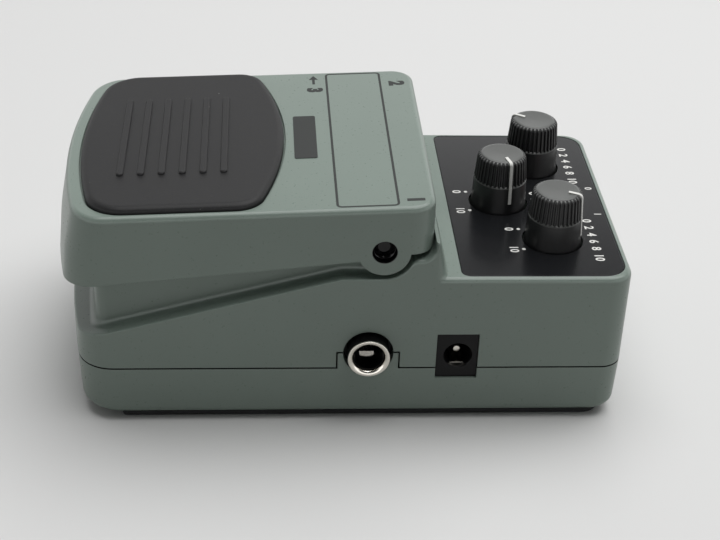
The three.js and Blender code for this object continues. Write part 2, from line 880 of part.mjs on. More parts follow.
// Posts, bosses and the spring seat that stand inside the upper shell.
function upperPosts() {
  let posts = bar(
    "z",
    springSeat - springSeatWall,
    deckUnder + bite,
    [0, springY],
    springSeatRadius + springSeatWall,
  );
  for (const [name, x, y] of screwSpots) {
    const top = name.startsWith("front") ? ledgeHeight(y) - roofThickness / 2 : roofUnder + bite;
    posts = posts.add(bar("z", upperBottom, top, [x, y], postRadius));
  }
  for (const side of [-1, 1]) {
    const control = [side * controlScrewX, controlScrewY];
    posts = posts.add(bar("z", controlBoardTop + seatGap, roofUnder + bite, control, bossRadius));
    const stake = [(side * stakeSpacing) / 2, switchY];
    posts = posts.add(bar("z", switchBase + seatGap, deckUnder + bite, stake, stakeRadius));
    const pinEnd = switchBase - boardThickness;
    posts = posts.add(
      bar("z", pinEnd, switchBase + bite, stake, stakePinRadius, stakePinRadius, tinySegments),
    );
  }
  return posts;
}

// Every hole and recess cut through the upper shell.
function upperCuts() {
  let cuts = panelPlan(-slipGap, consoleTop - panelThickness - seatGap, consoleTop + overrun);
  for (const [, x, y] of knobSpots) {
    const hole = bar(
      "z",
      roofUnder - overrun,
      consoleTop + overrun,
      [x, y],
      knobSkirtRadius + knobHoleGap,
    );
    cuts = cuts.add(hole);
  }
  cuts = cuts.add(bar("z", roofUnder - overrun, consoleTop, [0, ledY], ledRadius + slipGap * 2));
  cuts = cuts.add(bar("z", springSeat, blockTop + overrun, [0, springY], springSeatRadius));
  const switchHole = bar(
    "z",
    deckUnder - overrun,
    blockTop + overrun,
    [0, switchY],
    buttonRadius + buttonSlip,
  );
  cuts = cuts.add(switchHole);
  for (const [, side, y] of jackSpots) {
    cuts = cuts.add(jackHole(side, y));
    cuts = cuts.add(tongue(side, y, 1, upperBottom - overrun));
  }
  cuts = cuts.add(powerOpening());
  for (const [, x, y] of screwSpots) {
    const pilot = screwRadius + screwPilotGap;
    cuts = cuts.add(
      bar(
        "z",
        upperBottom - overrun,
        screwSeat + screwReach + bite,
        [x, y],
        pilot,
        pilot,
        smallSegments,
      ),
    );
  }
  for (const side of [-1, 1]) {
    const [inX, outX] = acrossX(side, channelInnerX, hingeWallX);
    const depth = channelHalfDepth;
    const low = [inX, hingeY - depth, channelFloor];
    cuts = cuts.add(block(low, [outX, hingeY + depth, hingeBlockTop + overrun]));
    const [fromX, toX] = acrossX(side, hingeWallX - bite, bodyHalfWidth + overrun);
    cuts = cuts.add(bar("x", fromX, toX, [hingeY, hingeZ], pinRadius + slipGap));
    const control = [side * controlScrewX, controlScrewY];
    const pilot = bar(
      "z",
      controlBoardHeight,
      controlBoardHeight + controlScrewLength,
      control,
      bossPilotRadius,
    );
    cuts = cuts.add(pilot);
  }
  const keeperPilot = keeperScrewRadius + slipGap;
  const pilotFloor = hingeBlockTop - keeperScrewLength;
  cuts = cuts.add(bar("z", pilotFloor, hingeBlockTop + overrun, [0, hingeY], keeperPilot));
  const leadSlot = block(
    [wellHalfWidth - leadSlotLength, leadSlotY - leadSlotWidth / 2, wellUnder - overrun],
    [wellHalfWidth, leadSlotY + leadSlotWidth / 2, wellFloor + bite],
  );
  return cuts.add(leadSlot);
}

function upperShell() {
  const hollow = upperForm().subtract(upperHollows());
  return hollow.add(upperPosts()).subtract(upperCuts());
}

// The tray that closes the housing from below.
function lowerShell() {
  const outline = (inset, z) => level(sweptOutline(bodyForm, inset), z);
  const middle = (bodyRear + bodyFront) / 2;
  const half = (bodyRear - bodyFront) / 2;
  const rounding = [0, 30, 60, 90].map((angle) => {
    const turn = degToRad(angle);
    const draw = 1 - Math.sin(turn);
    const squeeze = (trayEndDraft + (baseEndRounding - baseRounding) * draw) / half;
    return outline(baseRounding * draw, matThickness + baseRounding * (1 - Math.cos(turn))).map(
      (p) => new THREE.Vector3(p.x, p.y - (p.y - middle) * squeeze, p.z),
    );
  });
  let tray = loft([...rounding, outline(0, lowerTop)]);
  const well = planProfile(sweptOutline(bodyForm, wall), insideFloor, lowerTop + overrun);
  tray = tray.subtract(well);
  for (const [, side, y] of jackSpots) {
    tray = tray.add(tongue(side, y, 0, lowerTop - tongueStep));
  }
  for (const [, side, y] of jackSpots) tray = tray.subtract(jackHole(side, y));
  tray = tray.subtract(powerOpening());
  for (const x of [-boardScrewX, boardScrewX]) {
    for (const y of [boardScrewFrontY, boardScrewRearY]) {
      tray = tray.add(bar("z", insideFloor - bite, boardUnder - seatGap, [x, y], bossRadius));
      const pilot = bar(
        "z",
        insideFloor,
        boardUnder + bite,
        [x, y],
        bossPilotRadius,
        bossPilotRadius,
        tinySegments,
      );
      tray = tray.subtract(pilot);
    }
  }
  for (const [, x, y] of screwSpots) {
    tray = tray.add(bar("z", insideFloor - bite, lowerTop, [x, y], postRadius));
    const shank = screwRadius + screwHoleGap;
    tray = tray.subtract(bar("z", 0, lowerTop + overrun, [x, y], shank, shank, smallSegments));
    const head = screwHeadRadius + screwHoleGap;
    tray = tray.subtract(bar("z", 0, screwSeat, [x, y], head, head, smallSegments));
  }
  return tray;
}

function baseMat() {
  const outline = roundedPlan(
    bodyHalfWidth - matSideInset,
    bodyFront + matFrontInset,
    matFrontRadius,
    bodyRear - matRearInset,
    matRearRadius,
  );
  let mat = planProfile(outline, 0, matThickness - seatGap);
  for (const [, x, y] of screwSpots) {
    const hole = screwHeadRadius + screwHoleGap * 2;
    mat = mat.subtract(bar("z", -overrun, matThickness + overrun, [x, y], hole, hole, smallSegments));
  }
  return mat;
}

function housingScrew(x, y) {
  const head = bar("z", screwSeat - screwHeadHeight, screwSeat - seatGap, [x, y], screwHeadRadius);
  const end = screwSeat + screwReach;
  const shank = bar("z", screwSeat - bite, end, [x, y], screwRadius, screwRadius, smallSegments);
  const slot = screwHeadRadius / 3;
  const bottom = screwSeat - screwHeadHeight;
  const arm = (halfX, halfY) =>
    block([x - halfX, y - halfY, bottom - bite], [x + halfX, y + halfY, bottom + slot]);
  const cross = arm(slot * 2, slot / 3).add(arm(slot / 3, slot * 2));
  return head.add(shank).subtract(cross);
}

// The plan of the black panel on the console, grown or shrunk by an inset.
function panelPlan(inset, fromZ, toZ) {
  const outline = roundedPlan(
    bodyHalfWidth - panelMargin - inset,
    panelFront + inset,
    panelFrontRadius - inset,
    bodyRear - panelMargin - inset,
    bodyRearRadius - inset,
  );
  return planProfile(outline, fromZ, toZ);
}

function controlPanel() {
  const bottom = consoleTop - panelThickness;
  let panel = panelPlan(0, bottom, consoleTop - seatGap);
  for (const [, x, y] of knobSpots) {
    panel = panel.subtract(
      bar("z", bottom - bite, consoleTop + bite, [x, y], knobSkirtRadius + knobHoleGap),
    );
  }
  const led = ledRadius + slipGap * 2;
  return panel.subtract(bar("z", bottom - bite, consoleTop + bite, [0, ledY], led, led, smallSegments));
}

// Side view of the treadle: sloping lower edge, round hinge ear and round rear corner.
function treadleSide() {
  const beyond = treadleFront - overrun;
  const points = [[beyond, skirtHeight(beyond)]];
  const arc = (y, z, radius, from, to, steps) => {
    for (let i = 0; i <= steps; i += 1) {
      const turn = degToRad(from + ((to - from) * i) / steps);
      points.push([y + radius * Math.cos(turn), z + radius * Math.sin(turn)]);
    }
  };
  arc(hingeY, hingeZ, earRadius, 204, 355, 12);
  arc(skirtCornerY, skirtCornerZ, skirtCornerRadius, 270, 360, 4);
  points.push([treadleRear + overrun, skirtCornerZ]);
  points.push([treadleRear + overrun, treadleTop + overrun * 2], [beyond, treadleTop + overrun * 2]);
  return sideProfile(points, -bodyHalfWidth - overrun, bodyHalfWidth + overrun);
}

function treadle() {
  const frontSpan = treadleFrontRadius + treadleFrontRadius / 2;
  const foot = { draft: 0 };
  const waist = {
    draft: treadleWaistDraft,
    frontRadius: treadleWaistRadius,
    frontSweep: treadleWaistSweep,
  };
  const rim = { draft: treadleDraft, frontRadius: treadleTopRadius, frontSweep: treadleTopSweep };
  const ring = (inset, depth, { draft, ...form }) =>
    sweptOutline({ ...treadleForm, ...form }, inset).map((p) => {
      const share = Math.max(0, (treadleFront + frontSpan - p.y) / frontSpan);
      return new THREE.Vector3(p.x, p.y + draft * share, treadleHeight(p.y) - depth);
    });
  const softening = treadleRounding * (1 - Math.SQRT1_2);
  const skirtDepth = treadleTop - skirtFrontHeight + overrun;
  let shell = loft([
    ring(0, skirtDepth, foot),
    ring(0, treadleWaistDepth, waist),
    ring(0, treadleRounding, rim),
    ring(softening, softening, rim),
    ring(treadleRounding, 0, rim),
  ]);
  shell = shell.intersect(treadleSide());
  const hollow = loft([
    ring(treadleSkirt, skirtDepth + overrun, foot),
    ring(treadleSkirt, treadlePlate, rim),
  ]);
  shell = shell.subtract(hollow);
  const under = (y) => treadleHeight(y) - treadlePlate;
  shell = shell.add(
    bar("z", under(springY) - springStubLength, under(springY) + bite, [0, springY], springStubRadius),
  );
  const socket = actuatorRadius + seatGap;
  shell = shell.add(
    bar(
      "z",
      under(switchY) - actuatorSocketDepth,
      under(switchY) + bite,
      [0, switchY],
      socket + actuatorSocketWall,
    ),
  );
  shell = shell.subtract(
    bar("z", under(switchY) - actuatorSocketDepth - bite, under(switchY), [0, switchY], socket),
  );
  for (const x of [-ribPitch, ribPitch]) {
    const from = springY;
    const to = ledgeKnee;
    const rib = [
      [from, under(from) - ribDepth],
      [to, under(to) - ribDepth],
      [to, under(to) + bite],
      [from, under(from) + bite],
    ];
    shell = shell.add(sideProfile(rib, x - ribWidth / 2, x + ribWidth / 2));
  }
  const reach = bodyHalfWidth + overrun;
  return shell.subtract(bar("x", -reach, reach, [hingeY, hingeZ], pinRadius + slipGap));
}

function treadPad() {
  const ring = (inset, height) =>
    sweptOutline(padForm, inset).map((p) => new THREE.Vector3(p.x, p.y, treadleHeight(p.y) + height));
  const soft = padRounding * (1 - Math.SQRT1_2);
  let pad = loft(
    [
      ring(0, seatGap),
      ring(0, padThickness * padLandShare),
      ring(soft, padThickness * padShoulderShare),
      ring(padRounding, padThickness),
    ],
  );
  for (let i = 0; i < gripCount; i += 1) {
    const y = gripCentre + (i - (gripCount - 1) / 2) * gripPitch;
    const top = treadleHeight(y) + padThickness + gripHeight;
    const low = [-gripLength / 2, y - gripWidth / 2, top - padThickness];
    pad = pad.add(block(low, [gripLength / 2, y + gripWidth / 2, top]));
  }
  return pad;
}

// A hinge pin that points outwards along +X: tip, collar and the tail that guides its spring.
function hingePin() {
  const tip = bodyHalfWidth - pinRecess;
  const collarEnd = hingeWallX - pinPlay;
  const collarStart = collarEnd - pinCollarWidth;
  const rod = bar("x", collarStart, tip, [0, 0], pinRadius);
  const collar = bar("x", collarStart, collarEnd, [0, 0], pinCollarRadius);
  const tail = bar(
    "x",
    collarStart - pinTailLength,
    collarEnd,
    [0, 0],
    pinTailRadius,
    pinTailRadius,
    smallSegments,
  );
  const dish = bar(
    "x",
    tip - pinDishDepth,
    tip + bite,
    [0, 0],
    pinDishRadius,
    pinDishRadius,
    smallSegments,
  );
  return rod.add(collar).add(tail).subtract(dish);
}

function hingeSpring(side) {
  const end = hingeWallX - pinPlay - pinCollarWidth - hingeSpringGap;
  const start = channelInnerX + pinPlay;
  const geometry = coil(
    `hinge spring ${side}`,
    hingeSpringRadius,
    hingeSpringWire,
    hingeSpringTurns,
    start,
    end,
  );
  return solid(geometry.rotateY(Math.PI / 2));
}

function hingeKeeper() {
  const bottom = hingeBlockTop + seatGap;
  const top = bottom + keeperThickness;
  const depth = keeperHalfDepth;
  const plate = block(
    [-keeperHalfWidth, hingeY - depth, bottom],
    [keeperHalfWidth, hingeY + depth, top],
  );
  const hole = keeperScrewRadius + slipGap;
  return plate
    .subtract(bar("z", bottom - bite, top + bite, [0, hingeY], hole))
    .subtract(bar("z", top - keeperHeadDepth, top + bite, [0, hingeY], keeperHeadRadius + slipGap));
}

function keeperScrew() {
  const top = hingeBlockTop + seatGap + keeperThickness;
  const head = bar("z", top - keeperHeadDepth + seatGap, top, [0, hingeY], keeperHeadRadius);
  const end = hingeBlockTop - keeperScrewLength + bite;
  return head.add(
    bar(
      "z",
      end,
      top - seatGap * 2,
      [0, hingeY],
      keeperScrewRadius,
      keeperScrewRadius,
      smallSegments,
    ),
  );
}

// Battery, its foam pad and its snap, lying across the well.
function batteryGroup() {
  const group = new THREE.Group();
  const middleY = (wellRear + wellFront) / 2;
  const bottom = wellFloor + seatGap * 2 + foamThickness;
  const left = pinPlay - wellHalfWidth;
  const right = left + batteryLength;
  const half = batteryWidth / 2;
  const top = bottom + batteryHeight;
  const r = batteryRounding;
  const outline = new THREE.Shape();
  outline.absarc(half - r, top - r, r, 0, Math.PI / 2, false);
  outline.absarc(r - half, top - r, r, Math.PI / 2, Math.PI, false);
  outline.absarc(r - half, bottom + r, r, Math.PI, Math.PI * 1.5, false);
  outline.absarc(half - r, bottom + r, r, Math.PI * 1.5, Math.PI * 2, false);
  const ends = outline.getPoints(2).slice(0, -1);
  const battery = sideProfile(ends.map((p) => [p.x + middleY, p.y]), left, right);
  group.add(piece("battery", battery, batteryCase));
  const foamHalf = batteryLength / 2 - batteryRounding;
  const foamX = left + batteryLength / 2;
  const foam = block(
    [foamX - foamHalf, middleY - half + r, wellFloor + seatGap],
    [foamX + foamHalf, middleY + half - r, bottom - seatGap],
  );
  group.add(piece("battery_foam", foam, foamGrey));
  const snapLeft = right + snapGap;
  const middleZ = (bottom + top) / 2;
  const snap = block(
    [snapLeft, middleY - snapWidth / 2, middleZ - snapHeight / 2],
    [snapLeft + snapThickness, middleY + snapWidth / 2, middleZ + snapHeight / 2],
  );
  group.add(piece("battery_snap", snap, leadBlack));
  const leadX = wellHalfWidth - leadInset;
  [-1, 1].forEach((side) => {
    const y = leadSlotY + (side * leadSpacing) / 2;
    const start = middleZ - snapHeight / 2 - pinPlay;
    const route = [
      [leadX, y, start],
      [leadX, y, wellFloor],
      [leadX, y + side * leadRadius, (wellFloor + boardTop) / 2],
      [leadX - leadSpacing, y + side * leadSpacing, boardTop + leadSpacing],
      [leadX - leadSpacing, y + side * leadSpacing, boardTop + pinPlay],
    ];
    const name = side > 0 ? "battery_lead_red" : "battery_lead_black";
    group.add(piece(name, lead(route, leadRadius), side > 0 ? leadRed : leadBlack));
  });
  return group;
}

function mainBoard() {
  let board = block([-boardHalfWidth, boardFront, boardUnder], [boardHalfWidth, boardRear, boardTop]);
  for (const [x, y] of [
    [boardScrewX, boardScrewFrontY],
    [-boardScrewX, boardScrewRearY],
  ]) {
    const hole = boardScrewRadius + slipGap * 2;
    board = board.subtract(
      bar("z", boardUnder - bite, boardTop + bite, [x, y], hole, hole, smallSegments),
    );
  }
  return board;
}

// A small pan-head screw that drives down through a board lying at the given height.
function boardScrew(x, y, top, direction, length) {
  const head = boardHeadHeight * direction;
  const heads = [top + seatGap * direction, top + head].sort((a, b) => a - b);
  const shanks = [top - length * direction, top + head / 2].sort((a, b) => a - b);
  return bar("z", ...heads, [x, y], boardHeadRadius, boardHeadRadius, smallSegments).add(
    bar("z", ...shanks, [x, y], boardScrewRadius, boardScrewRadius, tinySegments),
  );
}

// A dual in-line chip standing on the board with a row of legs on each side.
function chip(length, x, y) {
  const bottom = boardTop + chipLegHeight;
  const half = chipWidth / 2;
  let body = block([x - length / 2, y - half, bottom], [x + length / 2, y + half, bottom + chipHeight]);
  const legs = Math.floor(length / chipLegPitch);
  for (let i = 0; i < legs; i += 1) {
    const legX = x + (i - (legs - 1) / 2) * chipLegPitch;
    for (const side of [-1, 1]) {
      const from = y + side * half - (side > 0 ? 0 : chipLegThickness);
      const leg = chipLegThickness / 2;
      const top = bottom + chipHeight / 2;
      body = body.add(
        block([legX - leg, from, boardTop + seatGap], [legX + leg, from + chipLegThickness, top]),
      );
    }
  }
  return body;
}

function boardGroup() {
  const group = new THREE.Group();
  group.add(piece("main_board", mainBoard(), boardGreen));
  const front = boardScrew(boardScrewX, boardScrewFrontY, boardTop, 1, boardScrewLength);
  const rear = boardScrew(-boardScrewX, boardScrewRearY, boardTop, 1, boardScrewLength);
  group.add(piece("board_screw_front", front, steel), piece("board_screw_rear", rear, steel));
  group.add(piece("delay_chip", chip(delayChipLength, delayChipX, delayChipY), chipBlack));
  group.add(
    piece("converter_chip", chip(converterChipLength, converterChipX, converterChipY), chipBlack),
  );
  ["left", "right"].forEach((name, i) => {
    const spot = [capacitorX + i * capacitorPitch, capacitorY];
    const can = bar("z", boardTop + seatGap, boardTop + capacitorHeight, spot, capacitorRadius);
    group.add(piece(`filter_capacitor_${name}`, can, canBlue));
  });
  return group;
}

// One audio socket, built pointing along +X with its bore on the X axis.
function jackGroup([name, side, y]) {
  const group = new THREE.Group();
  const bottom = boardTop + seatGap - jackHeight;
  const top = jackTop - jackHeight;
  const half = jackWidth / 2;
  const body = block([jackInnerX, -half, bottom], [jackFaceX, half, top])
    .subtract(bar("x", jackInnerX + jackEndWall, jackFaceX + overrun, [0, 0], jackBoreRadius))
    .subtract(
      block(
        [contactSlotRear, -contactSlotWidth / 2, -contactSlotDepth],
        [contactSlotFront, contactSlotWidth / 2, 0],
      ),
    );
  group.add(piece(`${name}_body`, body, blackPlastic));
  const ring = bar("x", jackFaceX + seatGap, ferruleFaceX - ferruleChamfer, [0, 0], ferruleRadius)
    .add(
      bar(
        "x",
        ferruleFaceX - ferruleChamfer,
        ferruleFaceX,
        [0, 0],
        ferruleRadius,
        ferruleRadius - ferruleChamfer,
      ),
    )
    .subtract(bar("x", jackFaceX - overrun, ferruleFaceX + overrun, [0, 0], jackBoreRadius))
    .subtract(
      bar(
        "x",
        ferruleFaceX - ferruleFlareDepth,
        ferruleFaceX + ferruleFlareDepth,
        [0, 0],
        jackBoreRadius,
        ferruleFlareRadius * 2 - jackBoreRadius,
      ),
    );
  group.add(piece(`${name}_ferrule`, ring, nickel));
  const slotLength = contactSlotFront - contactSlotRear;
  const crest = contactSlotFront - slotLength * contactCrestShare;
  const upper = [
    [contactSlotFront - contactEndGap, -contactRise],
    [crest, -contactDip],
    [contactSlotFront - slotLength * contactBendShare, -contactRise],
    [contactSlotRear + contactEndGap, -contactRise],
  ];
  const contactHalf = contactWidth / 2;
  const lower = upper.map(([x, z]) => [x, z - contactThickness]).reverse();
  const contact = frontProfile([...upper, ...lower], -contactHalf, contactHalf);
  group.add(piece(`${name}_contact`, contact, nickel));
  group.position.set(0, y, jackHeight);
  group.rotation.z = side > 0 ? 0 : Math.PI;
  return group;
}

function powerGroup() {
  const group = new THREE.Group();
  const face = bodyHalfWidth - powerRecess;
  const half = powerWidth / 2 - slipGap;
  const body = block(
    [face - powerLength, powerY - half, powerBottom + slipGap],
    [face, powerY + half, powerTop - slipGap],
  );
  const boreEnd = face - powerBoreDepth;
  const boreY = powerY + powerBoreShift;
  const centre = [boreY, powerBoreHeight];
  const bore = bar("x", boreEnd, face + overrun, centre, powerBoreRadius);
  const leafZ = powerBoreHeight - powerLeafDrop;
  const slotHalf = powerLeafWidth / 2 + slipGap;
  const leafSlot = block(
    [boreEnd, boreY - slotHalf, leafZ - powerLeafThickness - seatGap],
    [boreEnd + powerLeafLength + slipGap, boreY + slotHalf, powerBoreHeight],
  );
  group.add(piece("dc_jack_body", body.subtract(bore).subtract(leafSlot), blackPlastic));
  const tip = face - powerPinRecess;
  const shoulder = tip - powerPinTipLength;
  const rod = [centre, powerPinRadius, powerPinRadius, smallSegments];
  const nose = [centre, powerPinRadius, powerPinTipRadius, smallSegments];
  const pin = bar("x", boreEnd + seatGap, shoulder, ...rod).add(bar("x", shoulder, tip, ...nose));
  group.add(piece("dc_jack_pin", pin, nickel));
  const leaf = block(
    [boreEnd + seatGap, boreY - powerLeafWidth / 2, leafZ - powerLeafThickness],
    [boreEnd + powerLeafLength, boreY + powerLeafWidth / 2, leafZ],
  );
  group.add(piece("dc_jack_contact", leaf, nickel));
  return group;
}

function controlBoard() {
  const half = controlBoardHalfWidth;
  let board = block(
    [-half, controlBoardFront, controlBoardHeight],
    [half, controlBoardRear, controlBoardTop],
  );
  for (const side of [-1, 1]) {
    const spot = [side * controlScrewX, controlScrewY];
    const hole = boardScrewRadius + slipGap * 2;
    board = board.subtract(
      bar("z", controlBoardHeight - bite, controlBoardTop + bite, spot, hole, hole, smallSegments),
    );
  }
  return board;
}

function statusLed() {
  const top = consoleTop + ledProud;
  const bottom = top - ledBodyLength;
  const dome = new THREE.SphereGeometry(ledRadius, smallSegments, tinySegments).rotateX(Math.PI / 2);
  let led = bar("z", bottom, top, [0, ledY], ledRadius, ledRadius, smallSegments);
  led = led.add(solid(dome.translate(0, ledY, top)));
  const flange = ledRadius + ledFlange;
  led = led.add(bar("z", bottom, bottom + ledFlange * 2, [0, ledY], flange, flange, smallSegments));
  for (const side of [-1, 1]) {
    const spot = [side * ledLegOffset, ledY];
    led = led.add(
      bar(
        "z",
        controlBoardTop + seatGap,
        bottom + bite,
        spot,
        ledLegRadius,
        ledLegRadius,
        tinySegments,
      ),
    );
  }
  return led;
}

// One control: its body on the control board, its shaft and its knob with a pointer.
function controlGroup([name, x, y, angle]) {
  const group = new THREE.Group();
  const potBottom = controlBoardTop + seatGap;
  const potTop = potBottom + potHeight;
  const bore = shaftRadius + potBoreGap;
  const pot = block([-potWidth / 2, -potDepth / 2, potBottom], [potWidth / 2, potDepth / 2, potTop]);
  const potBody = pot.subtract(bar("z", shaftBottom - slipGap, potTop + bite, [0, 0], bore));
  group.add(piece(`${name}_pot_body`, potBody, steel));
  const turning = new THREE.Group();
  turning.add(piece(`${name}_shaft`, bar("z", shaftBottom, shaftTop, [0, 0], shaftRadius), steel));
  turning.add(piece(`${name}_knob`, knob(), knobBlack));
  turning.rotation.z = degToRad(angle);
  group.add(turning);
  group.position.set(x, y, 0);
  return group;
}

// A knob with a smooth skirt, a ribbed upper part and a raised pointer towards +X.
function knob() {
  const skirt = bar(
    "z",
    knobBottom,
    knobKnurlHeight,
    [0, 0],
    knobSkirtRadius,
    knobKnurlRadius,
    wideSegments,
  );
  const ring = (radius, depth, z) => {
    const points = [];
    for (let i = 0; i < knobRibs * 2; i += 1) {
      const turn = (i / knobRibs) * Math.PI;
      const reach = i % 2 ? radius - depth : radius;
      points.push(new THREE.Vector3(reach * Math.cos(turn), reach * Math.sin(turn), z));
    }
    return points;
  };
  const ribbed = loft([
    ring(knobKnurlRadius, knobRibDepth, knobKnurlHeight - seatGap),
    ring(knobTopRadius + knobEdge / 4, knobRibDepth, knobTop - knobEdge),
    ring(knobTopRadius - knobEdge, 0, knobTop),
  ]);
  const edge = knobTopRadius + knobEdge / 4 + pointerProud;
  const pointer = frontProfile(
    [
      [pointerInner, knobTop - knobEdge],
      [edge - knobEdge, knobTop - knobEdge * 2],
      [knobKnurlRadius - knobEdge, pointerBottom],
      [knobSkirtRadius - knobEdge / 4 + pointerProud, pointerBottom],
      [edge, knobTop - knobEdge],
      [edge - knobEdge, knobTop + pointerProud],
      [pointerInner, knobTop + pointerProud],
    ],
    -pointerWidth / 2,
    pointerWidth / 2,
  );
  const bore = shaftRadius + slipGap / 2;
  const hub = bar("z", knobBottom - bite, knobBottom + knobBoreDepth, [0, 0], bore);
  return skirt.add(ribbed).add(pointer).subtract(hub);
}

function footSwitchGroup() {
  const group = new THREE.Group();
  const boardBottom = switchBase - boardThickness;
  const halfLength = switchBoardLength / 2;
  const halfWidth = switchBoardWidth / 2;
  let board = block(
    [-halfLength, switchY - halfWidth, boardBottom],
    [halfLength, switchY + halfWidth, switchBase],
  );
  for (const side of [-1, 1]) {
    const hole = stakePinRadius + slipGap * 2;
    const spot = [(side * stakeSpacing) / 2, switchY];
    board = board.subtract(
      bar("z", boardBottom - bite, switchBase + bite, spot, hole, hole, tinySegments),
    );
  }
  group.add(piece("footswitch_board", board, boardGreen));
  const half = switchSide / 2;
  const bore = buttonRadius + slipGap * 2;
  const body = block([-half, switchY - half, switchBase + seatGap], [half, switchY + half, switchTop]);
  group.add(
    piece(
      "footswitch_body",
      body.subtract(bar("z", switchBase + switchFloor, switchTop + bite, [0, switchY], bore)),
      blackPlastic,
    ),
  );
  const button = bar("z", buttonTop - buttonLength, buttonTop, [0, switchY], buttonRadius);
  group.add(piece("footswitch_button", button, nickel));
  const start = boardBottom - pinPlay;
  const line = [
    [switchY + switchLeadInset, start],
    [switchY + switchLeadInset, start - switchLeadDrop],
    [(switchY + boardFront) / 2, (start + boardTop) / 2 - switchLeadSag],
    [boardFront, boardTop + switchLeadRise],
    [boardFront + switchLeadLanding, boardTop + switchLeadEndRise],
    [boardFront + switchLeadLanding + switchLeadEnd, boardTop + pinPlay],
  ];
  const wide = switchLeadWidth / 2;
  const flat = strip(line, switchLeadThickness, switchLeadX - wide, switchLeadX + wide);
  group.add(piece("footswitch_lead", flat, ribbonGrey));
  return group;
}

function treadleSpring() {
  const top = treadleHeight(springY) - treadlePlate - pinPlay;
  const geometry = coil(
    "treadle spring",
    springRadius,
    springWire,
    springTurns,
    springSeat + seatGap,
    top,
  );
  return solid(geometry.translate(0, springY, 0));
}

function treadleGroup() {
  const group = new THREE.Group();
  group.add(piece("treadle", treadle(), treadleGreen));
  group.add(piece("tread_pad", treadPad(), padRubber));
  const top = treadleHeight(switchY) - treadlePlate - seatGap;
  const foot = bar("z", buttonTop + actuatorGap, top, [0, switchY], actuatorRadius);
  group.add(piece("switch_actuator", foot, padRubber));
  return group;
}

function hingeGroup() {
  const group = new THREE.Group();
  for (const [name, side] of [
    ["right", 1],
    ["left", -1],
  ]) {
    const arm = new THREE.Group();
    arm.add(piece(`hinge_pin_${name}`, hingePin(), pinBlack));
    arm.add(piece(`hinge_spring_${name}`, hingeSpring(name), steel));
    arm.position.set(0, hingeY, hingeZ);
    arm.rotation.z = side > 0 ? 0 : Math.PI;
    group.add(arm);
  }
  group.add(piece("hinge_keeper", hingeKeeper(), blackPlastic));
  group.add(piece("hinge_keeper_screw", keeperScrew(), steel));
  return group;
}

function ribbon() {
  const top = controlBoardHeight - pinPlay;
  const bottom = boardTop + pinPlay;
  const rise = top - bottom;
  const line = [0, 0.25, 0.5, 0.75, 1].map((share) => [
    ribbonY + ribbonBow * Math.sin(share * Math.PI),
    bottom + rise * share,
  ]);
  return strip(line, ribbonThickness, -ribbonWidth / 2, ribbonWidth / 2);
}

const pedal = new THREE.Group();
pedal.name = "delay_pedal";
pedal.add(piece("upper_shell", upperShell(), housingGreen));
pedal.add(piece("lower_shell", lowerShell(), housingGreen));
pedal.add(piece("base_mat", baseMat(), matRubber));
for (const [name, x, y] of screwSpots) {
  pedal.add(piece(`housing_screw_${name}`, housingScrew(x, y), steel));
}
pedal.add(piece("control_panel", controlPanel(), panelBlack));
pedal.add(boardGroup());
for (const spot of jackSpots) pedal.add(jackGroup(spot));
pedal.add(powerGroup());
pedal.add(piece("control_board", controlBoard(), boardGreen));
for (const [name, side] of [
  ["left", -1],
  ["right", 1],
]) {
  const screw = boardScrew(
    side * controlScrewX,
    controlScrewY,
    controlBoardHeight,
    -1,
    controlScrewLength - bite,
  );
  pedal.add(piece(`control_board_screw_${name}`, screw, steel));
}
for (const spot of knobSpots) pedal.add(controlGroup(spot));
pedal.add(piece("status_led", statusLed(), ledRed));
pedal.add(piece("board_ribbon", ribbon(), ribbonGrey));
pedal.add(batteryGroup());
pedal.add(footSwitchGroup());
pedal.add(hingeGroup());
pedal.add(treadleGroup());
pedal.add(piece("treadle_spring", treadleSpring(), steel));

export default pedal;
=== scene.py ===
import json
import logging
import math
from collections.abc import Callable, Mapping, Sequence
from dataclasses import dataclass, field, replace
from enum import Enum

import bmesh
import bpy
from mathutils import Matrix, Vector

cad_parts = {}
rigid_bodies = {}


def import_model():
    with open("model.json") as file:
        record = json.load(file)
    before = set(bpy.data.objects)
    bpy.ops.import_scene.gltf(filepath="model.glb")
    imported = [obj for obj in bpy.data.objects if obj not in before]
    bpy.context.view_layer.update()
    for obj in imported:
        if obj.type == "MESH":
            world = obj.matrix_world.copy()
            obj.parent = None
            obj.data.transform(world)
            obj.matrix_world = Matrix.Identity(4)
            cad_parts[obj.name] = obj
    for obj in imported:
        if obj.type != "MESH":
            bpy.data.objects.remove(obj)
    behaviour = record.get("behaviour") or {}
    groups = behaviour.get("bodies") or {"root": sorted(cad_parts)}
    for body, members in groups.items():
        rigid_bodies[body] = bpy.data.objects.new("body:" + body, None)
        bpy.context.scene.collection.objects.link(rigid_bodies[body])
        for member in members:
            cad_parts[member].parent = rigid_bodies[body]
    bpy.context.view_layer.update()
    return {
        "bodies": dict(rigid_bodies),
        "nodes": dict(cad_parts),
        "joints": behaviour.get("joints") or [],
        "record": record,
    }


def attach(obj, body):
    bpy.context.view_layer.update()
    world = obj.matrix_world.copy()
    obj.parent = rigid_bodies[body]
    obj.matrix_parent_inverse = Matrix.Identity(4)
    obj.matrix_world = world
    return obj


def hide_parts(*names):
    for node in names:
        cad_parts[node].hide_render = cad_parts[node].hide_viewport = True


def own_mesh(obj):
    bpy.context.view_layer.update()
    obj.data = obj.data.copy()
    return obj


MM = 0.001
WELD = 0.0005  # corners nearer than this, in millimetres, are one
QUARTER = range(0, 91, 15)  # the angles of a quarter round, in degrees
LOG = logging.getLogger("delay_pedal")

Point = tuple[float, float, float]
Flat = tuple[float, float]

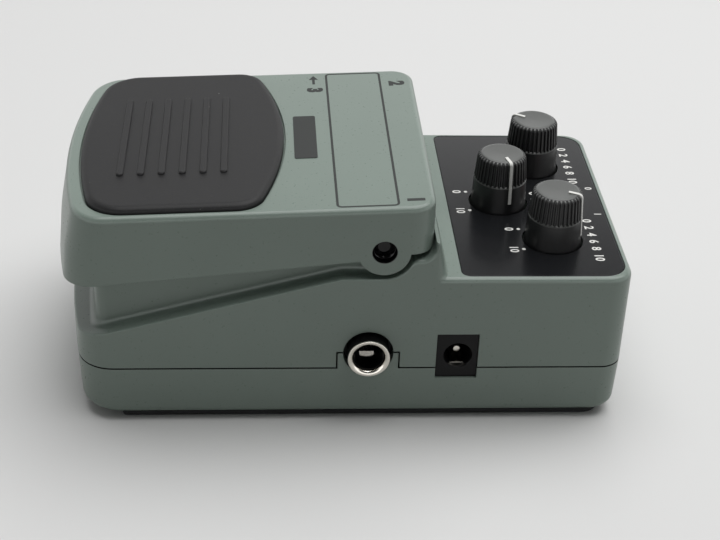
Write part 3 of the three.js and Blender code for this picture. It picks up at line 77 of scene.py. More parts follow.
# Places that more than one sub-assembly needs, in millimetres.
HINGE: Flat = (7.6, 43.4)
PIN_HOLE = 2.6
KNOBS: tuple[Flat, ...] = ((-17, 46.2), (0, 36.3), (17, 46.2))
KNOB_HOLE = 6.75
LIGHT: Flat = (0, 51.7)
LIGHT_HOLE = 1.7
SPRING_Y = -46.3
SWITCH_Y = -33
SOCKET_HEIGHT = 17.94
BLACK: Point = (0.002, 0.002, 0.002)


class Axis(Enum):
    """The direction that a rod or a turned form follows."""

    X = "x"
    Y = "y"
    Z = "z"


class Joining(Enum):
    """How one solid is combined with others."""

    ADD = "UNION"
    CUT = "DIFFERENCE"
    KEEP = "INTERSECT"


# ---------------------------------------------------------------- solids


class Solid:
    """A closed mesh in millimetres that can be joined, cut and rounded."""

    def __init__(self, mesh: bpy.types.Mesh) -> None:
        """Keeps the mesh.

        Args:
            mesh: a closed mesh, in millimetres.
        """
        self.mesh = mesh

    @classmethod
    def skin(cls, corners: Sequence[Point], faces: Sequence[Sequence[int]]) -> "Solid":
        """Makes a solid from corners and faces.

        Args:
            corners: the points, in millimetres.
            faces: the corner numbers of each face.

        Returns:
            The solid, with its faces outwards.
        """
        mesh = bpy.data.meshes.new("solid")
        mesh.from_pydata([tuple(c) for c in corners], [], [tuple(f) for f in faces])
        solid = cls(mesh)
        solid.edit(lambda form: bmesh.ops.recalc_face_normals(form, faces=form.faces))
        return solid

    @classmethod
    def loft(cls, rings: Sequence[Sequence[Point]], split: Sequence[int] = ()) -> "Solid":
        """Joins rings of equal point counts into a closed skin.

        Args:
            rings: the rings from the lowest to the highest.
            split: two point numbers between which each cap is folded.

        Returns:
            The solid.
        """
        count = len(rings[0])
        corners = [p for ring in rings for p in ring]
        faces: list[Sequence[int]] = []
        for level in range(len(rings) - 1):
            for i in range(count):
                a = level * count + i
                b = level * count + (i + 1) % count
                faces.append((a, b, b + count, a + count))
        for start in (0, (len(rings) - 1) * count):
            if split:
                first, second = sorted(split)
                faces.append([start + i for i in range(first, second + 1)])
                faces.append([start + i % count for i in range(second, first + count + 1)])
            else:
                faces.append([start + i for i in range(count)])
        return cls.skin(corners, faces)

    @classmethod
    def turned(cls, profile: Sequence[Flat], axis: Axis, centre: Flat, steps: int = 64) -> "Solid":
        """Turns a profile about an axis.

        Args:
            profile: radius and place along the axis, from one end to the other.
            axis: the axis that the profile turns about.
            centre: where the axis is in the other two directions, in X, Y, Z order.
            steps: how many steps make a full turn.

        Returns:
            The solid.
        """
        rings = []
        for radius, along in profile:
            rings.append([spin(axis, centre, radius, turn, along) for turn in full_turn(steps)])
        return cls.loft(rings)

    @classmethod
    def rod(
        cls, axis: Axis, start: float, end: float, centre: Flat, radius: float, steps: int = 64
    ) -> "Solid":
        """Makes a plain round bar along an axis.

        Args:
            axis: the direction of the bar.
            start: its first end.
            end: its last end.
            centre: where it is in the other two directions.
            radius: its radius.
            steps: how many steps make a full turn.

        Returns:
            The bar.
        """
        return cls.turned([(radius, start), (radius, end)], axis, centre, steps)

    @classmethod
    def post(cls, low: float, high: float, spot: Flat, radius: float, steps: int = 64) -> "Solid":
        """Makes a plain upright bar between two heights at a spot of the plan."""
        return cls.rod(Axis.Z, low, high, spot, radius, steps)

    @classmethod
    def drawn(cls, outline: Sequence[Flat], axis: Axis, start: float, end: float) -> "Solid":
        """Draws a flat outline out along an axis.

        Args:
            outline: the outline in the other two directions, in X, Y, Z order.
            axis: the direction that it is drawn out in.
            start: where it begins.
            end: where it ends.

        Returns:
            The solid.
        """
        return cls.loft([[place(axis, p, along) for p in outline] for along in (start, end)])

    @classmethod
    def block(cls, low: Point, high: Point) -> "Solid":
        """Makes a box between two corners.

        Args:
            low: the lowest corner.
            high: the highest corner.

        Returns:
            The box.
        """
        outline = [(low[0], low[1]), (high[0], low[1]), (high[0], high[1]), (low[0], high[1])]
        return cls.drawn(outline, Axis.Z, low[2], high[2])

    def edit(self, change: Callable[[bmesh.types.BMesh], object]) -> "Solid":
        """Changes the mesh through an edit mesh.

        Args:
            change: what is done to it.

        Returns:
            This solid.
        """
        form = bmesh.new()
        form.from_mesh(self.mesh)
        change(form)
        form.to_mesh(self.mesh)
        form.free()
        self.mesh.update()
        return self

    def combine(self, joining: Joining, *others: "Solid") -> "Solid":
        """Joins, cuts or keeps with other solids.

        Args:
            joining: how they are combined.
            others: the other solids, one after the other.

        Returns:
            A new solid.
        """
        body = linked("work", self.mesh)
        tools = [linked("tool", other.mesh) for other in others]
        for tool in tools:
            modifier = body.modifiers.new("combine", "BOOLEAN")
            modifier.operation = joining.value
            modifier.solver = "MANIFOLD"
            modifier.object = tool
        mesh = evaluated(body)
        for used in (body, *tools):
            bpy.data.objects.remove(used)
        return Solid(mesh)

    def add(self, *others: "Solid") -> "Solid":
        """Returns this solid joined with others."""
        return self.combine(Joining.ADD, *others)

    def cut(self, *others: "Solid") -> "Solid":
        """Returns this solid with others cut away."""
        return self.combine(Joining.CUT, *others)

    def keep(self, *others: "Solid") -> "Solid":
        """Returns what this solid has in common with others."""
        return self.combine(Joining.KEEP, *others)

    def merged(self, angle: float = 0.3) -> "Solid":
        """Joins faces that lie flat beside each other.

        Args:
            angle: the largest angle between two faces that are joined, in degrees.

        Returns:
            This solid.
        """

        def join_faces(form: bmesh.types.BMesh) -> None:
            """Welds the corners and joins faces that lie flat to one another."""
            bmesh.ops.remove_doubles(form, verts=form.verts, dist=WELD)
            limit = math.radians(angle)
            bmesh.ops.dissolve_limit(form, angle_limit=limit, verts=form.verts, edges=form.edges)

        return self.edit(join_faces)

    @classmethod
    def ring(cls, profile: Sequence[Flat], axis: Axis, centre: Flat, steps: int = 64) -> "Solid":
        """Turns a closed profile about an axis, which leaves a bore.

        Args:
            profile: radius and place along the axis of each corner.
            axis: the axis.
            centre: where the axis is in the other two directions, in X, Y, Z order.
            steps: how many steps make a full turn.

        Returns:
            The ring.
        """
        count = len(profile)
        corners: list[Point] = []
        for turn in full_turn(steps):
            corners += [spin(axis, centre, radius, turn, along) for radius, along in profile]
        faces = []
        for i in range(steps):
            here, there = i * count, (i + 1) % steps * count
            for k in range(count):
                after = (k + 1) % count
                faces.append((here + k, here + after, there + after, there + k))
        return cls.skin(corners, faces)

    @classmethod
    def gather(cls, *parts: "Solid") -> "Solid":
        """Returns one solid that holds the given ones side by side."""
        form = bmesh.new()
        for part in parts:
            form.from_mesh(part.mesh)
        mesh = bpy.data.meshes.new("gathered")
        form.to_mesh(mesh)
        form.free()
        return cls(mesh)

    def piece(self, name: str, finish: bpy.types.Material, crease: float) -> bpy.types.Object:
        """Turns the solid into a shaded object of the scene, in metres.

        Args:
            name: the object's name.
            finish: its material.
            crease: edges sharper than this many degrees stay sharp.

        Returns:
            The object, with its place in its mesh.
        """
        self.edit(lambda form: bmesh.ops.remove_doubles(form, verts=form.verts, dist=WELD))
        self.mesh.transform(Matrix.Scale(MM, 4))
        self.mesh.materials.clear()
        self.mesh.materials.append(finish)
        self.mesh.shade_smooth()
        self.mesh.set_sharp_from_angle(angle=math.radians(crease))
        made = linked(name, self.mesh)
        weighted = made.modifiers.new("weighted", "WEIGHTED_NORMAL")
        weighted.keep_sharp = True
        made.data = evaluated(made)
        made.modifiers.clear()
        made.data.name = name
        return made


def place(axis: Axis, point: Flat, along: float) -> Point:
    """Puts a point beside an axis into the frame.

    Args:
        axis: the axis.
        point: where it is in the other two directions, in X, Y, Z order.
        along: where it is along the axis.

    Returns:
        The point.
    """
    first, second = point
    if axis is Axis.X:
        return (along, first, second)
    if axis is Axis.Y:
        return (first, along, second)
    return (first, second, along)


def spin(axis: Axis, centre: Flat, radius: float, turn: float, along: float) -> Point:
    """Puts a point at a radius and a turn in radians about an axis into the frame."""
    point = (centre[0] + radius * math.cos(turn), centre[1] + radius * math.sin(turn))
    return place(axis, point, along)


def full_turn(steps: int) -> list[float]:
    """Returns the angles of a full turn in so many steps, in radians."""
    return [math.tau * i / steps for i in range(steps)]


def rounding(turn: float) -> Flat:
    """Returns how far a quarter round of radius 1 lies inside its side and under its top.

    Args:
        turn: the angle in degrees, 0 at its foot and 90 at its top.

    Returns:
        The distance from the side and from the top.
    """
    return 1 - math.cos(math.radians(turn)), 1 - math.sin(math.radians(turn))


def lifted(outline: Sequence[Flat], height: float) -> list[Point]:
    """Returns a flat outline as a level ring at a height."""
    return [(x, y, height) for x, y in outline]


def linked(name: str, data: bpy.types.ID) -> bpy.types.Object:
    """Returns a new object of the scene that shows a mesh, a text, a light or a camera."""
    made = bpy.data.objects.new(name, data)
    bpy.context.scene.collection.objects.link(made)
    return made


def evaluated(source: bpy.types.Object) -> bpy.types.Mesh:
    """Returns the plain mesh that an object has with its modifiers applied."""
    bpy.context.view_layer.update()
    graph = bpy.context.evaluated_depsgraph_get()
    return bpy.data.meshes.new_from_object(source.evaluated_get(graph), depsgraph=graph)


def arc(centre: Flat, radius: float, start: float, end: float, steps: int) -> list[Flat]:
    """Points of an arc.

    Args:
        centre: the centre.
        radius: the radius.
        start: the first angle in degrees.
        end: the last angle in degrees.
        steps: how many steps it has.

    Returns:
        The points.
    """
    turns = [math.radians(start + (end - start) * i / steps) for i in range(steps + 1)]
    return [(centre[0] + radius * math.cos(t), centre[1] + radius * math.sin(t)) for t in turns]


def rounded_box(low: Flat, high: Flat, radius: float, steps: int = 6) -> list[Flat]:
    """Points of a rectangle with round corners.

    Args:
        low: the lowest corner.
        high: the highest corner.
        radius: the corner radius.
        steps: how many steps each corner has.

    Returns:
        The points.
    """
    points: list[Flat] = []
    middle = ((low[0] + high[0]) / 2, (low[1] + high[1]) / 2)
    for turn, corner in enumerate((high, (low[0], high[1]), low, (high[0], low[1]))):
        centre = tuple(c - math.copysign(radius, c - m) for c, m in zip(corner, middle))
        points += arc(centre, radius, turn * 90, turn * 90 + 90, steps)
    return points


def rounded_plan(half: float, front: Flat, rear: Flat) -> list[Flat]:
    """Points of a plan whose front and rear corners have their own radii.

    Args:
        half: half its width.
        front: where it starts and the radius of its front corners.
        rear: where it ends and the radius of its rear corners.

    Returns:
        The points.
    """
    points: list[Flat] = []
    for turn, (end, radius) in enumerate((rear, rear, front, front)):
        side = 1 if turn in (0, 3) else -1
        along = end - radius if turn < 2 else end + radius
        points += arc((side * (half - radius), along), radius, turn * 90, turn * 90 + 90, 10)
    return points


@dataclass(frozen=True)
class SweptOutline:
    """A plan outline with round corners whose ends bow outwards."""

    half_width: float
    front: float
    front_radius: float
    front_sweep: float
    rear: float
    rear_radius: float
    rear_sweep: float = 0
    knees: tuple[float, ...] = ()
    corner_steps: int = 12
    bow_steps: int = 10

    def corner(self, radius: float, sweep: float) -> Flat:
        """Returns a corner's sweep in radians and how far its centre lies inside the end."""
        angle = math.radians(sweep)
        end = self.half_width - radius + radius * math.sin(angle)
        return angle, radius * math.cos(angle) + end * math.tan(angle) / 2

    def half(self, inset: float) -> list[Flat]:
        """Points of the right half from the middle of the front to the middle of the rear.

        Args:
            inset: how far inside the outline they lie.

        Returns:
            The points.
        """
        points: list[Flat] = []
        angle, drop = self.corner(self.front_radius, self.front_sweep)
        centre = (self.half_width - self.front_radius, self.front + drop)
        radius = self.front_radius - inset
        corner = arc(centre, radius, 270 + math.degrees(angle), 360, self.corner_steps)
        points += self.bow(corner[0], angle, -1)
        points += corner
        points += [(self.half_width - inset, knee) for knee in self.knees]
        angle, drop = self.corner(self.rear_radius, self.rear_sweep)
        centre = (self.half_width - self.rear_radius, self.rear - drop)
        radius = self.rear_radius - inset
        corner = arc(centre, radius, 0, 90 - math.degrees(angle), self.corner_steps)
        points += corner
        return points + self.bow(corner[-1], angle, 1)[::-1]

    def bow(self, end: Flat, angle: float, side: int) -> list[Flat]:
        """Points of a bowed end from its middle up to, and without, a corner.

        Args:
            end: where the corner meets the bow.
            angle: the slope at the corner in radians.
            side: 1 at the rear and -1 at the front.

        Returns:
            The points.
        """
        middle = end[1] + side * end[0] * math.tan(angle) / 2
        rise = middle - end[1]
        shares = [i / self.bow_steps for i in range(self.bow_steps)]
        return [(end[0] * s, middle - rise * s * s) for s in shares]

    def points(self, inset: float = 0) -> list[Flat]:
        """Points of the whole outline.

        Args:
            inset: how far inside the outline they lie.

        Returns:
            The points, anticlockwise from the middle of the front.
        """
        right = self.half(inset)
        left = [(-x, y) for x, y in right[1:-1]][::-1]
        return right + left

    def fold(self) -> tuple[int, int]:
        """Returns the numbers of the two points at the first knee."""
        found = [i for i, (_, y) in enumerate(self.points()) if abs(y - self.knees[0]) < 1e-9]
        return found[0], found[-1]


# ---------------------------------------------------------------- materials


class Value:
    """A number socket of a node tree, with arithmetic."""

    def __init__(self, nodes: "Nodes", socket: bpy.types.NodeSocket) -> None:
        """Keeps the tree's builder and the socket."""
        self.nodes = nodes
        self.socket = socket

    def math(self, operation: str, first: object, second: object = 0.0) -> "Value":
        """Returns the result of a Math node on two values."""
        node = self.nodes.node("ShaderNodeMath", {"operation": operation}, {0: first, 1: second})
        return Value(self.nodes, node.outputs[0])

    def __add__(self, other: object) -> "Value":
        """Returns the sum."""
        return self.math("ADD", self, other)

    def __sub__(self, other: object) -> "Value":
        """Returns the difference."""
        return self.math("SUBTRACT", self, other)

    def __rsub__(self, other: object) -> "Value":
        """Returns the difference from a number."""
        return self.math("SUBTRACT", other, self)

    def __mul__(self, other: object) -> "Value":
        """Returns the product."""
        return self.math("MULTIPLY", self, other)

    def size(self) -> "Value":
        """Returns the number without its sign."""
        return self.math("ABSOLUTE", self)

    def step(self, low: float, high: float) -> "Value":
        """Returns 0 below the low value, 1 above the high one and a smooth ramp between."""
        node = self.nodes.node(
            "ShaderNodeMapRange",
            {"interpolation_type": "SMOOTHSTEP"},
            {"Value": self, "From Min": low, "From Max": high},
        )
        return Value(self.nodes, node.outputs["Result"])


class Nodes:
    """Adds nodes and links to a tree."""

    def __init__(self, tree: bpy.types.NodeTree) -> None:
        """Keeps the tree."""
        self.tree = tree

    def node(
        self,
        kind: str,
        settings: Mapping[str, object] | None = None,
        sockets: Mapping[str | int, object] | None = None,
    ) -> bpy.types.Node:
        """Adds a node.

        Args:
            kind: the node's type.
            settings: its properties.
            sockets: a value or a link for each input that is set.

        Returns:
            The node.
        """
        made = self.tree.nodes.new(kind)
        for name, value in (settings or {}).items():
            setattr(made, name, value)
        for name, value in (sockets or {}).items():
            if isinstance(value, Value):
                value = value.socket
            if isinstance(value, bpy.types.NodeSocket):
                self.tree.links.new(value, made.inputs[name])
            else:
                made.inputs[name].default_value = value
        return made


class Shade(Nodes):
    """Builds the nodes of one material."""

    def __init__(self, name: str) -> None:
        """Starts an empty tree with its output.

        Args:
            name: the material's name.
        """
        self.material = bpy.data.materials.new(name)
        self.material.use_nodes = True
        super().__init__(self.material.node_tree)
        self.tree.nodes.clear()
        self.output = self.node("ShaderNodeOutputMaterial")

    def place(self, scale: Point = (1, 1, 1)) -> bpy.types.NodeSocket:
        """Returns the object's own coordinates in millimetres, stretched by a scale."""
        where = self.node("ShaderNodeTexCoord").outputs["Object"]
        size = tuple(s / MM for s in scale)
        return self.node("ShaderNodeMapping", {}, {"Vector": where, "Scale": size}).outputs[0]

    def noise(self, where: object, rate: float, detail: float = 3, rough: float = 0.55) -> Value:
        """Returns a noise of so many features per millimetre, from 0 to 1."""
        sockets = {"Vector": where, "Scale": rate, "Detail": detail, "Roughness": rough}
        return Value(self, self.node("ShaderNodeTexNoise", {}, sockets).outputs[0])

    def cells(self, where: object, per_mm: float) -> Value:
        """Returns the distance to scattered points, for specks and pores."""
        made = self.node("ShaderNodeTexVoronoi", {}, {"Vector": where, "Scale": per_mm})
        return Value(self, made.outputs["Distance"])

    def parts(self, vector: object) -> list[Value]:
        """Returns the three numbers of a vector."""
        made = self.node("ShaderNodeSeparateXYZ", {}, {0: vector})
        return [Value(self, made.outputs[i]) for i in range(3)]

    def level_faces(self) -> Value:
        """Returns 1 on faces that lie level."""
        facing = self.parts(self.node("ShaderNodeNewGeometry").outputs["True Normal"])[2]
        return facing.size().step(0.6, 0.9)

    def seam(self, height: float) -> Value:
        """Returns 1 on level faces at a height inside the parting gap, for painting them black as
        painted shade.
        """
        off = (self.parts(self.place())[2] - height).size()
        return self.level_faces() * (1 - off.step(0.3, 0.34))

    def bore(self, hole: Point) -> Value:
        """Returns 1 inside a round hole along X, given by its centre and its radius, for painting
        its wall black as painted shade.
        """
        _, along, up = self.parts(self.place())
        across = (along - hole[0]) * (along - hole[0]) + (up - hole[1]) * (up - hole[1])
        return 1 - across.step(hole[2] ** 2, (hole[2] + 0.05) ** 2)

    def mix(self, share: object, first: object, second: object) -> bpy.types.NodeSocket:
        """Returns a mix of two colours.

        Args:
            share: how much of the second colour.
            first: the first colour, as three numbers or a socket.
            second: the second colour.

        Returns:
            The mixed colour's socket.
        """
        ends = [c if isinstance(c, bpy.types.NodeSocket) else (*c[:3], 1) for c in (first, second)]
        sockets = {0: share, 6: ends[0], 7: ends[1]}
        return self.node("ShaderNodeMix", {"data_type": "RGBA"}, sockets).outputs[2]

    def bump(self, height: Value, depth: float, edge: float = 0) -> bpy.types.NodeSocket:
        """Returns a normal that follows a height, over edges rounded by a small radius.

        Args:
            height: the height from 0 to 1.
            depth: what a height of 1 measures, in millimetres.
            edge: the radius that sharp edges seem to have, in millimetres.

        Returns:
            The normal's socket.
        """
        sockets = {"Height": height, "Distance": depth * MM, "Strength": 1.0}
        if edge:
            soft = self.node("ShaderNodeBevel", {"samples": 4}, {"Radius": edge * MM})
            sockets["Normal"] = soft.outputs[0]
        return self.node("ShaderNodeBump", {}, sockets).outputs[0]

    def surface(self, **sockets: object) -> bpy.types.Material:
        """Ends the tree in one surface shader.

        Args:
            sockets: the shader's inputs, with underscores for the spaces in their names.

        Returns:
            The material.
        """
        named = {name.replace("_", " "): value for name, value in sockets.items()}
        for name in ("Base Color", "Emission Color"):
            if isinstance(named.get(name), tuple):
                named[name] = (*named[name][:3], 1)
        shader = self.node("ShaderNodeBsdfPrincipled", {}, named)
        self.tree.links.new(shader.outputs[0], self.output.inputs["Surface"])
        return self.material


class Pattern(Nodes):
    """A geometry tree that repeats a form along a line, turning each copy further about Z."""

    def __init__(self) -> None:
        """Builds the tree."""
        tree = bpy.data.node_groups.new("repeats", "GeometryNodeTree")
        super().__init__(tree)
        face = tree.interface
        face.new_socket("Geometry", in_out="INPUT", socket_type="NodeSocketGeometry")
        for name, kind in (
            ("Count", "NodeSocketInt"),
            ("Start", "NodeSocketVector"),
            ("Step", "NodeSocketVector"),
            ("Turn", "NodeSocketFloat"),
            ("First Turn", "NodeSocketFloat"),
            ("Finish", "NodeSocketMaterial"),
        ):
            face.new_socket(name, in_out="INPUT", socket_type=kind)
        face.new_socket("Geometry", in_out="OUTPUT", socket_type="NodeSocketGeometry")
        given = self.node("NodeGroupInput").outputs
        line = self.node(
            "GeometryNodeMeshLine",
            {"mode": "OFFSET"},
            {"Count": given["Count"], "Start Location": given["Start"], "Offset": given["Step"]},
        )
        index = Value(self, self.node("GeometryNodeInputIndex").outputs[0])
        turn = index * given["Turn"] + given["First Turn"]
        angles = self.node("ShaderNodeCombineXYZ", {}, {"Z": turn}).outputs[0]
        rotation = self.node("FunctionNodeEulerToRotation", {}, {"Euler": angles}).outputs[0]
        copies = self.node(
            "GeometryNodeInstanceOnPoints",
            {},
            {"Points": line.outputs[0], "Instance": given["Geometry"], "Rotation": rotation},
        )
        real = self.node("GeometryNodeRealizeInstances", {}, {"Geometry": copies.outputs[0]})
        dressed = {"Geometry": real.outputs[0], "Material": given["Finish"]}
        shown = self.node("GeometryNodeSetMaterial", {}, dressed)
        self.node("NodeGroupOutput", {}, {"Geometry": shown.outputs[0]})

    def repeat(self, form: Solid, finish: bpy.types.Material, **given: object) -> Solid:
        """Repeats a solid.

        Args:
            form: the solid, placed about the origin that each copy starts from.
            finish: the material of the copies.
            given: count, start, step, turn and first_turn, where they aren't zero.

        Returns:
            All the copies as one solid, in millimetres.
        """
        body = linked("repeated", form.mesh)
        modifier = body.modifiers.new("repeats", "NODES")
        modifier.node_group = self.tree
        values = {name.replace("_", " ").title(): value for name, value in given.items()}
        values["Finish"] = finish
        for item in self.tree.interface.items_tree:
            if item.in_out == "INPUT" and item.name in values:
                modifier[item.identifier] = values[item.name]
        mesh = evaluated(body)
        bpy.data.objects.remove(body)
        return Solid(mesh)


def rgb(red: float, green: float, blue: float) -> Point:
    """Returns a colour given in display values from 0 to 255 as linear light."""

    def linear(value: float) -> float:
        """Returns one display value as linear light."""
        share = value / 255
        return share / 12.92 if share <= 0.04045 else ((share + 0.055) / 1.055) ** 2.4

    return (linear(red), linear(green), linear(blue))


def scaled(colour: Point, share: float, plus: float = 0) -> Point:
    """Returns a colour made lighter or darker by a share, and lighter by a step."""
    return tuple(min(1, c * share + plus) for c in colour)


@dataclass(frozen=True)
class Moulding:
    """Moulded or painted plastic: slight mottling, fine grain, dust specks and soft edges."""

    name: str
    colour: Point
    roughness: float = 0.42
    mottle: float = 0.06
    grain: float = 1.6
    grain_depth: float = 0.012
    specks: float = 0.06
    edge: float = 0.25
    coat: float = 0.0
    # height of the parting gap whose level faces are painted black as painted shade, in millimetres
    seam: float | None = None
    # a round hole along X, as centre and radius, whose wall is painted black as painted shade
    bore: Point | None = None
    shine: float = 0.5
    # a paler colour painted on level faces as painted sheen
    painted_sheen: Point | None = None

    def material(self) -> bpy.types.Material:
        """Returns the finished material."""
        shade = Shade(self.name)
        where = shade.place()
        broad = shade.noise(where, 0.045, 2)
        fine = shade.noise(where, self.grain, 4, 0.6)
        tiny = shade.noise(where, self.grain * 3.7, 2)
        dust = 1 - shade.cells(where, 0.23).step(self.specks * 0.5, self.specks)
        scuff = shade.noise(shade.place((0.35, 1, 1)), 0.55, 5, 0.7).step(0.62, 0.74)
        darker, lighter = scaled(self.colour, 1 - self.mottle), scaled(self.colour, 1 + self.mottle)
        colour = shade.mix(broad, darker, lighter)
        colour = shade.mix(scuff * 0.05, colour, scaled(self.colour, 1.5, 0.03))
        colour = shade.mix(dust * 0.5, colour, scaled(self.colour, 0.3))
        # level faces are painted paler: painted sheen on the knob tops
        if self.painted_sheen is not None:
            colour = shade.mix(shade.level_faces(), colour, self.painted_sheen)
        # the faces inside the parting gap are painted black: painted shade
        if self.seam is not None:
            colour = shade.mix(shade.seam(self.seam), colour, BLACK)
        # the wall of the hole round the hinge pin is painted black: painted shade
        if self.bore is not None:
            colour = shade.mix(shade.bore(self.bore), colour, BLACK)
        rough = fine * 0.10 + scuff * 0.05 + (self.roughness - 0.06)
        return shade.surface(
            Base_Color=colour,
            Roughness=rough,
            Specular_IOR_Level=self.shine,
            Coat_Weight=self.coat,
            Coat_Roughness=0.25,
            Normal=shade.bump(fine * 0.6 + tiny * 0.4, self.grain_depth, self.edge),
        )


@dataclass(frozen=True)
class Rubber:
    """Matt rubber: a fine leathery grain, pale dust and pores."""

    name: str
    colour: Point
    roughness: float = 0.6
    grain: float = 2.2
    grain_depth: float = 0.02
    edge: float = 0.3
    shine: float = 0.3

    def material(self) -> bpy.types.Material:
        """Returns the finished material."""
        shade = Shade(self.name)
        where = shade.place()
        broad = shade.noise(where, 0.05, 3)
        fine = shade.noise(where, self.grain, 5, 0.62)
        pores = 1 - shade.cells(where, self.grain * 1.4).step(0.05, 0.3)
        dust = 1 - shade.cells(where, 0.19).step(0.018, 0.034)
        colour = shade.mix(broad, scaled(self.colour, 0.86), scaled(self.colour, 1.12))
        colour = shade.mix(fine.step(0.55, 0.75) * 0.10, colour, rgb(120, 120, 120))
        colour = shade.mix(dust * 0.6, colour, rgb(170, 170, 165))
        return shade.surface(
            Base_Color=colour,
            Roughness=fine * 0.14 + broad * 0.08 + (self.roughness - 0.1),
            Specular_IOR_Level=self.shine,
            Normal=shade.bump(fine - pores * 0.35, self.grain_depth, self.edge),
        )


@dataclass(frozen=True)
class Plating:
    """Plated or turned metal: turning marks along an axis, light tarnish and soft edges."""

    name: str
    colour: Point
    roughness: float = 0.2
    marks: Point = (1, 1, 1)
    mark_rate: float = 2.5
    mark_depth: float = 0.004
    tarnish: Point = (0.42, 0.38, 0.33)
    edge: float = 0.08

    def material(self) -> bpy.types.Material:
        """Returns the finished material."""
        shade = Shade(self.name)
        lines = shade.noise(shade.place(self.marks), self.mark_rate, 3, 0.7)
        broad = shade.noise(shade.place(), 0.35, 3)
        spots = shade.noise(shade.place(), 1.3, 4, 0.7).step(0.6, 0.78)
        colour = shade.mix(broad * 0.25, self.colour, scaled(self.colour, 0.8))
        colour = shade.mix(spots * 0.25, colour, self.tarnish)
        return shade.surface(
            Base_Color=colour,
            Metallic=1.0,
            Roughness=lines * 0.14 + spots * 0.15 + self.roughness * 0.6,
            Normal=shade.bump(lines, self.mark_depth, self.edge),
        )


@dataclass(frozen=True)
class Ink:
    """Printed ink: slightly uneven cover and a dull sheen."""

    name: str
    colour: Point
    roughness: float = 0.5

    def material(self) -> bpy.types.Material:
        """Returns the finished material."""
        shade = Shade(self.name)
        where = shade.place()
        cover = shade.noise(where, 1.1, 4, 0.65)
        fine = shade.noise(where, 5, 3)
        colour = shade.mix(cover, scaled(self.colour, 0.85), scaled(self.colour, 1.1))
        return shade.surface(
            Base_Color=colour,
            Roughness=fine * 0.12 + (self.roughness - 0.05),
            Normal=shade.bump(fine, 0.004),
        )


@dataclass(frozen=True)
class Lens:
    """The light's clear coloured lens, unlit, with a darker heart painted where it faces the viewer
    as painted shade of its depth, and fine swirl marks.
    """

    name: str
    colour: Point
    painted_depth_shade: Point

    def material(self) -> bpy.types.Material:
        """Returns the finished material."""
        shade = Shade(self.name)
        where = shade.place()
        swirl = shade.noise(where, 0.8, 3)
        fine = shade.noise(where, 6, 2)
        # painted shade: the lens is darker where it faces the viewer and keeps its own colour
        # towards its rim
        facing = shade.node("ShaderNodeLayerWeight", {}, {"Blend": 0.35}).outputs["Facing"]
        return shade.surface(
            Base_Color=shade.mix(facing, shade.mix(swirl, self.painted_depth_shade, self.colour), self.colour),
            Roughness=fine * 0.06 + 0.06,
            Coat_Weight=0.6,
            Coat_Roughness=0.04,
            Normal=shade.bump(fine, 0.002),
        )


@dataclass(frozen=True)
class BoardMask:
    """A circuit board: glossy mask over raised tracks with tinned pads."""

    name: str
    colour: Point
    copper: Point = (0.16, 0.34, 0.20)
    tin: Point = (0.62, 0.62, 0.60)

    def material(self) -> bpy.types.Material:
        """Returns the finished material."""
        shade = Shade(self.name)
        where = shade.place()
        bricks = shade.node(
            "ShaderNodeTexBrick",
            {"offset": 0.5},
            {"Vector": where, "Scale": 0.16, "Mortar Size": 0.035, "Mortar Smooth": 0.1},
        )
        tracks = Value(shade, bricks.outputs["Fac"])
        pads = 1 - shade.cells(where, 0.35).step(0.16, 0.2)
        cloth = shade.noise(where, 2.4, 3)
        colour = shade.mix(cloth * 0.2, self.colour, scaled(self.colour, 0.7))
        colour = shade.mix(tracks * 0.7, colour, self.copper)
        colour = shade.mix(pads * 0.9, colour, self.tin)
        return shade.surface(
            Base_Color=colour,
            Roughness=cloth * 0.1 + 0.26,
            Normal=shade.bump((tracks + pads) * 0.5 + cloth * 0.1, 0.05, 0.05),
        )


@dataclass(frozen=True)
class Cable:
    """Ribbed flat cable or vinyl lead: stripes along it with a slight gloss."""

    name: str
    colour: Point
    stripe: Point
    pitch: float = 1.27

    def material(self) -> bpy.types.Material:
        """Returns the finished material."""
        shade = Shade(self.name)
        where = shade.place()
        bands = {"Vector": where, "Scale": 0.5 / self.pitch}
        wave = shade.node("ShaderNodeTexWave", {"bands_direction": "X"}, bands)
        rib = Value(shade, wave.outputs[1])
        fine = shade.noise(where, 3, 3)
        colour = shade.mix(fine * 0.3, self.colour, scaled(self.colour, 0.75))
        colour = shade.mix(rib.step(0.75, 0.95) * 0.4, colour, self.stripe)
        return shade.surface(
            Base_Color=colour,
            Roughness=fine * 0.1 + 0.38,
            Normal=shade.bump(rib, 0.08, 0.05),
        )


@dataclass(frozen=True)
class Foam:
    """Open foam: pores of two sizes and a dull face."""

    name: str
    colour: Point

    def material(self) -> bpy.types.Material:
        """Returns the finished material."""
        shade = Shade(self.name)
        where = shade.place()
        large = shade.cells(where, 1.1)
        small = shade.cells(where, 3.1)
        depth = large * 0.6 + small * 0.4
        colour = shade.mix(depth, scaled(self.colour, 0.4), self.colour)
        return shade.surface(
            Base_Color=colour,
            Roughness=small * 0.1 + 0.85,
            Normal=shade.bump(depth, 0.25),
        )


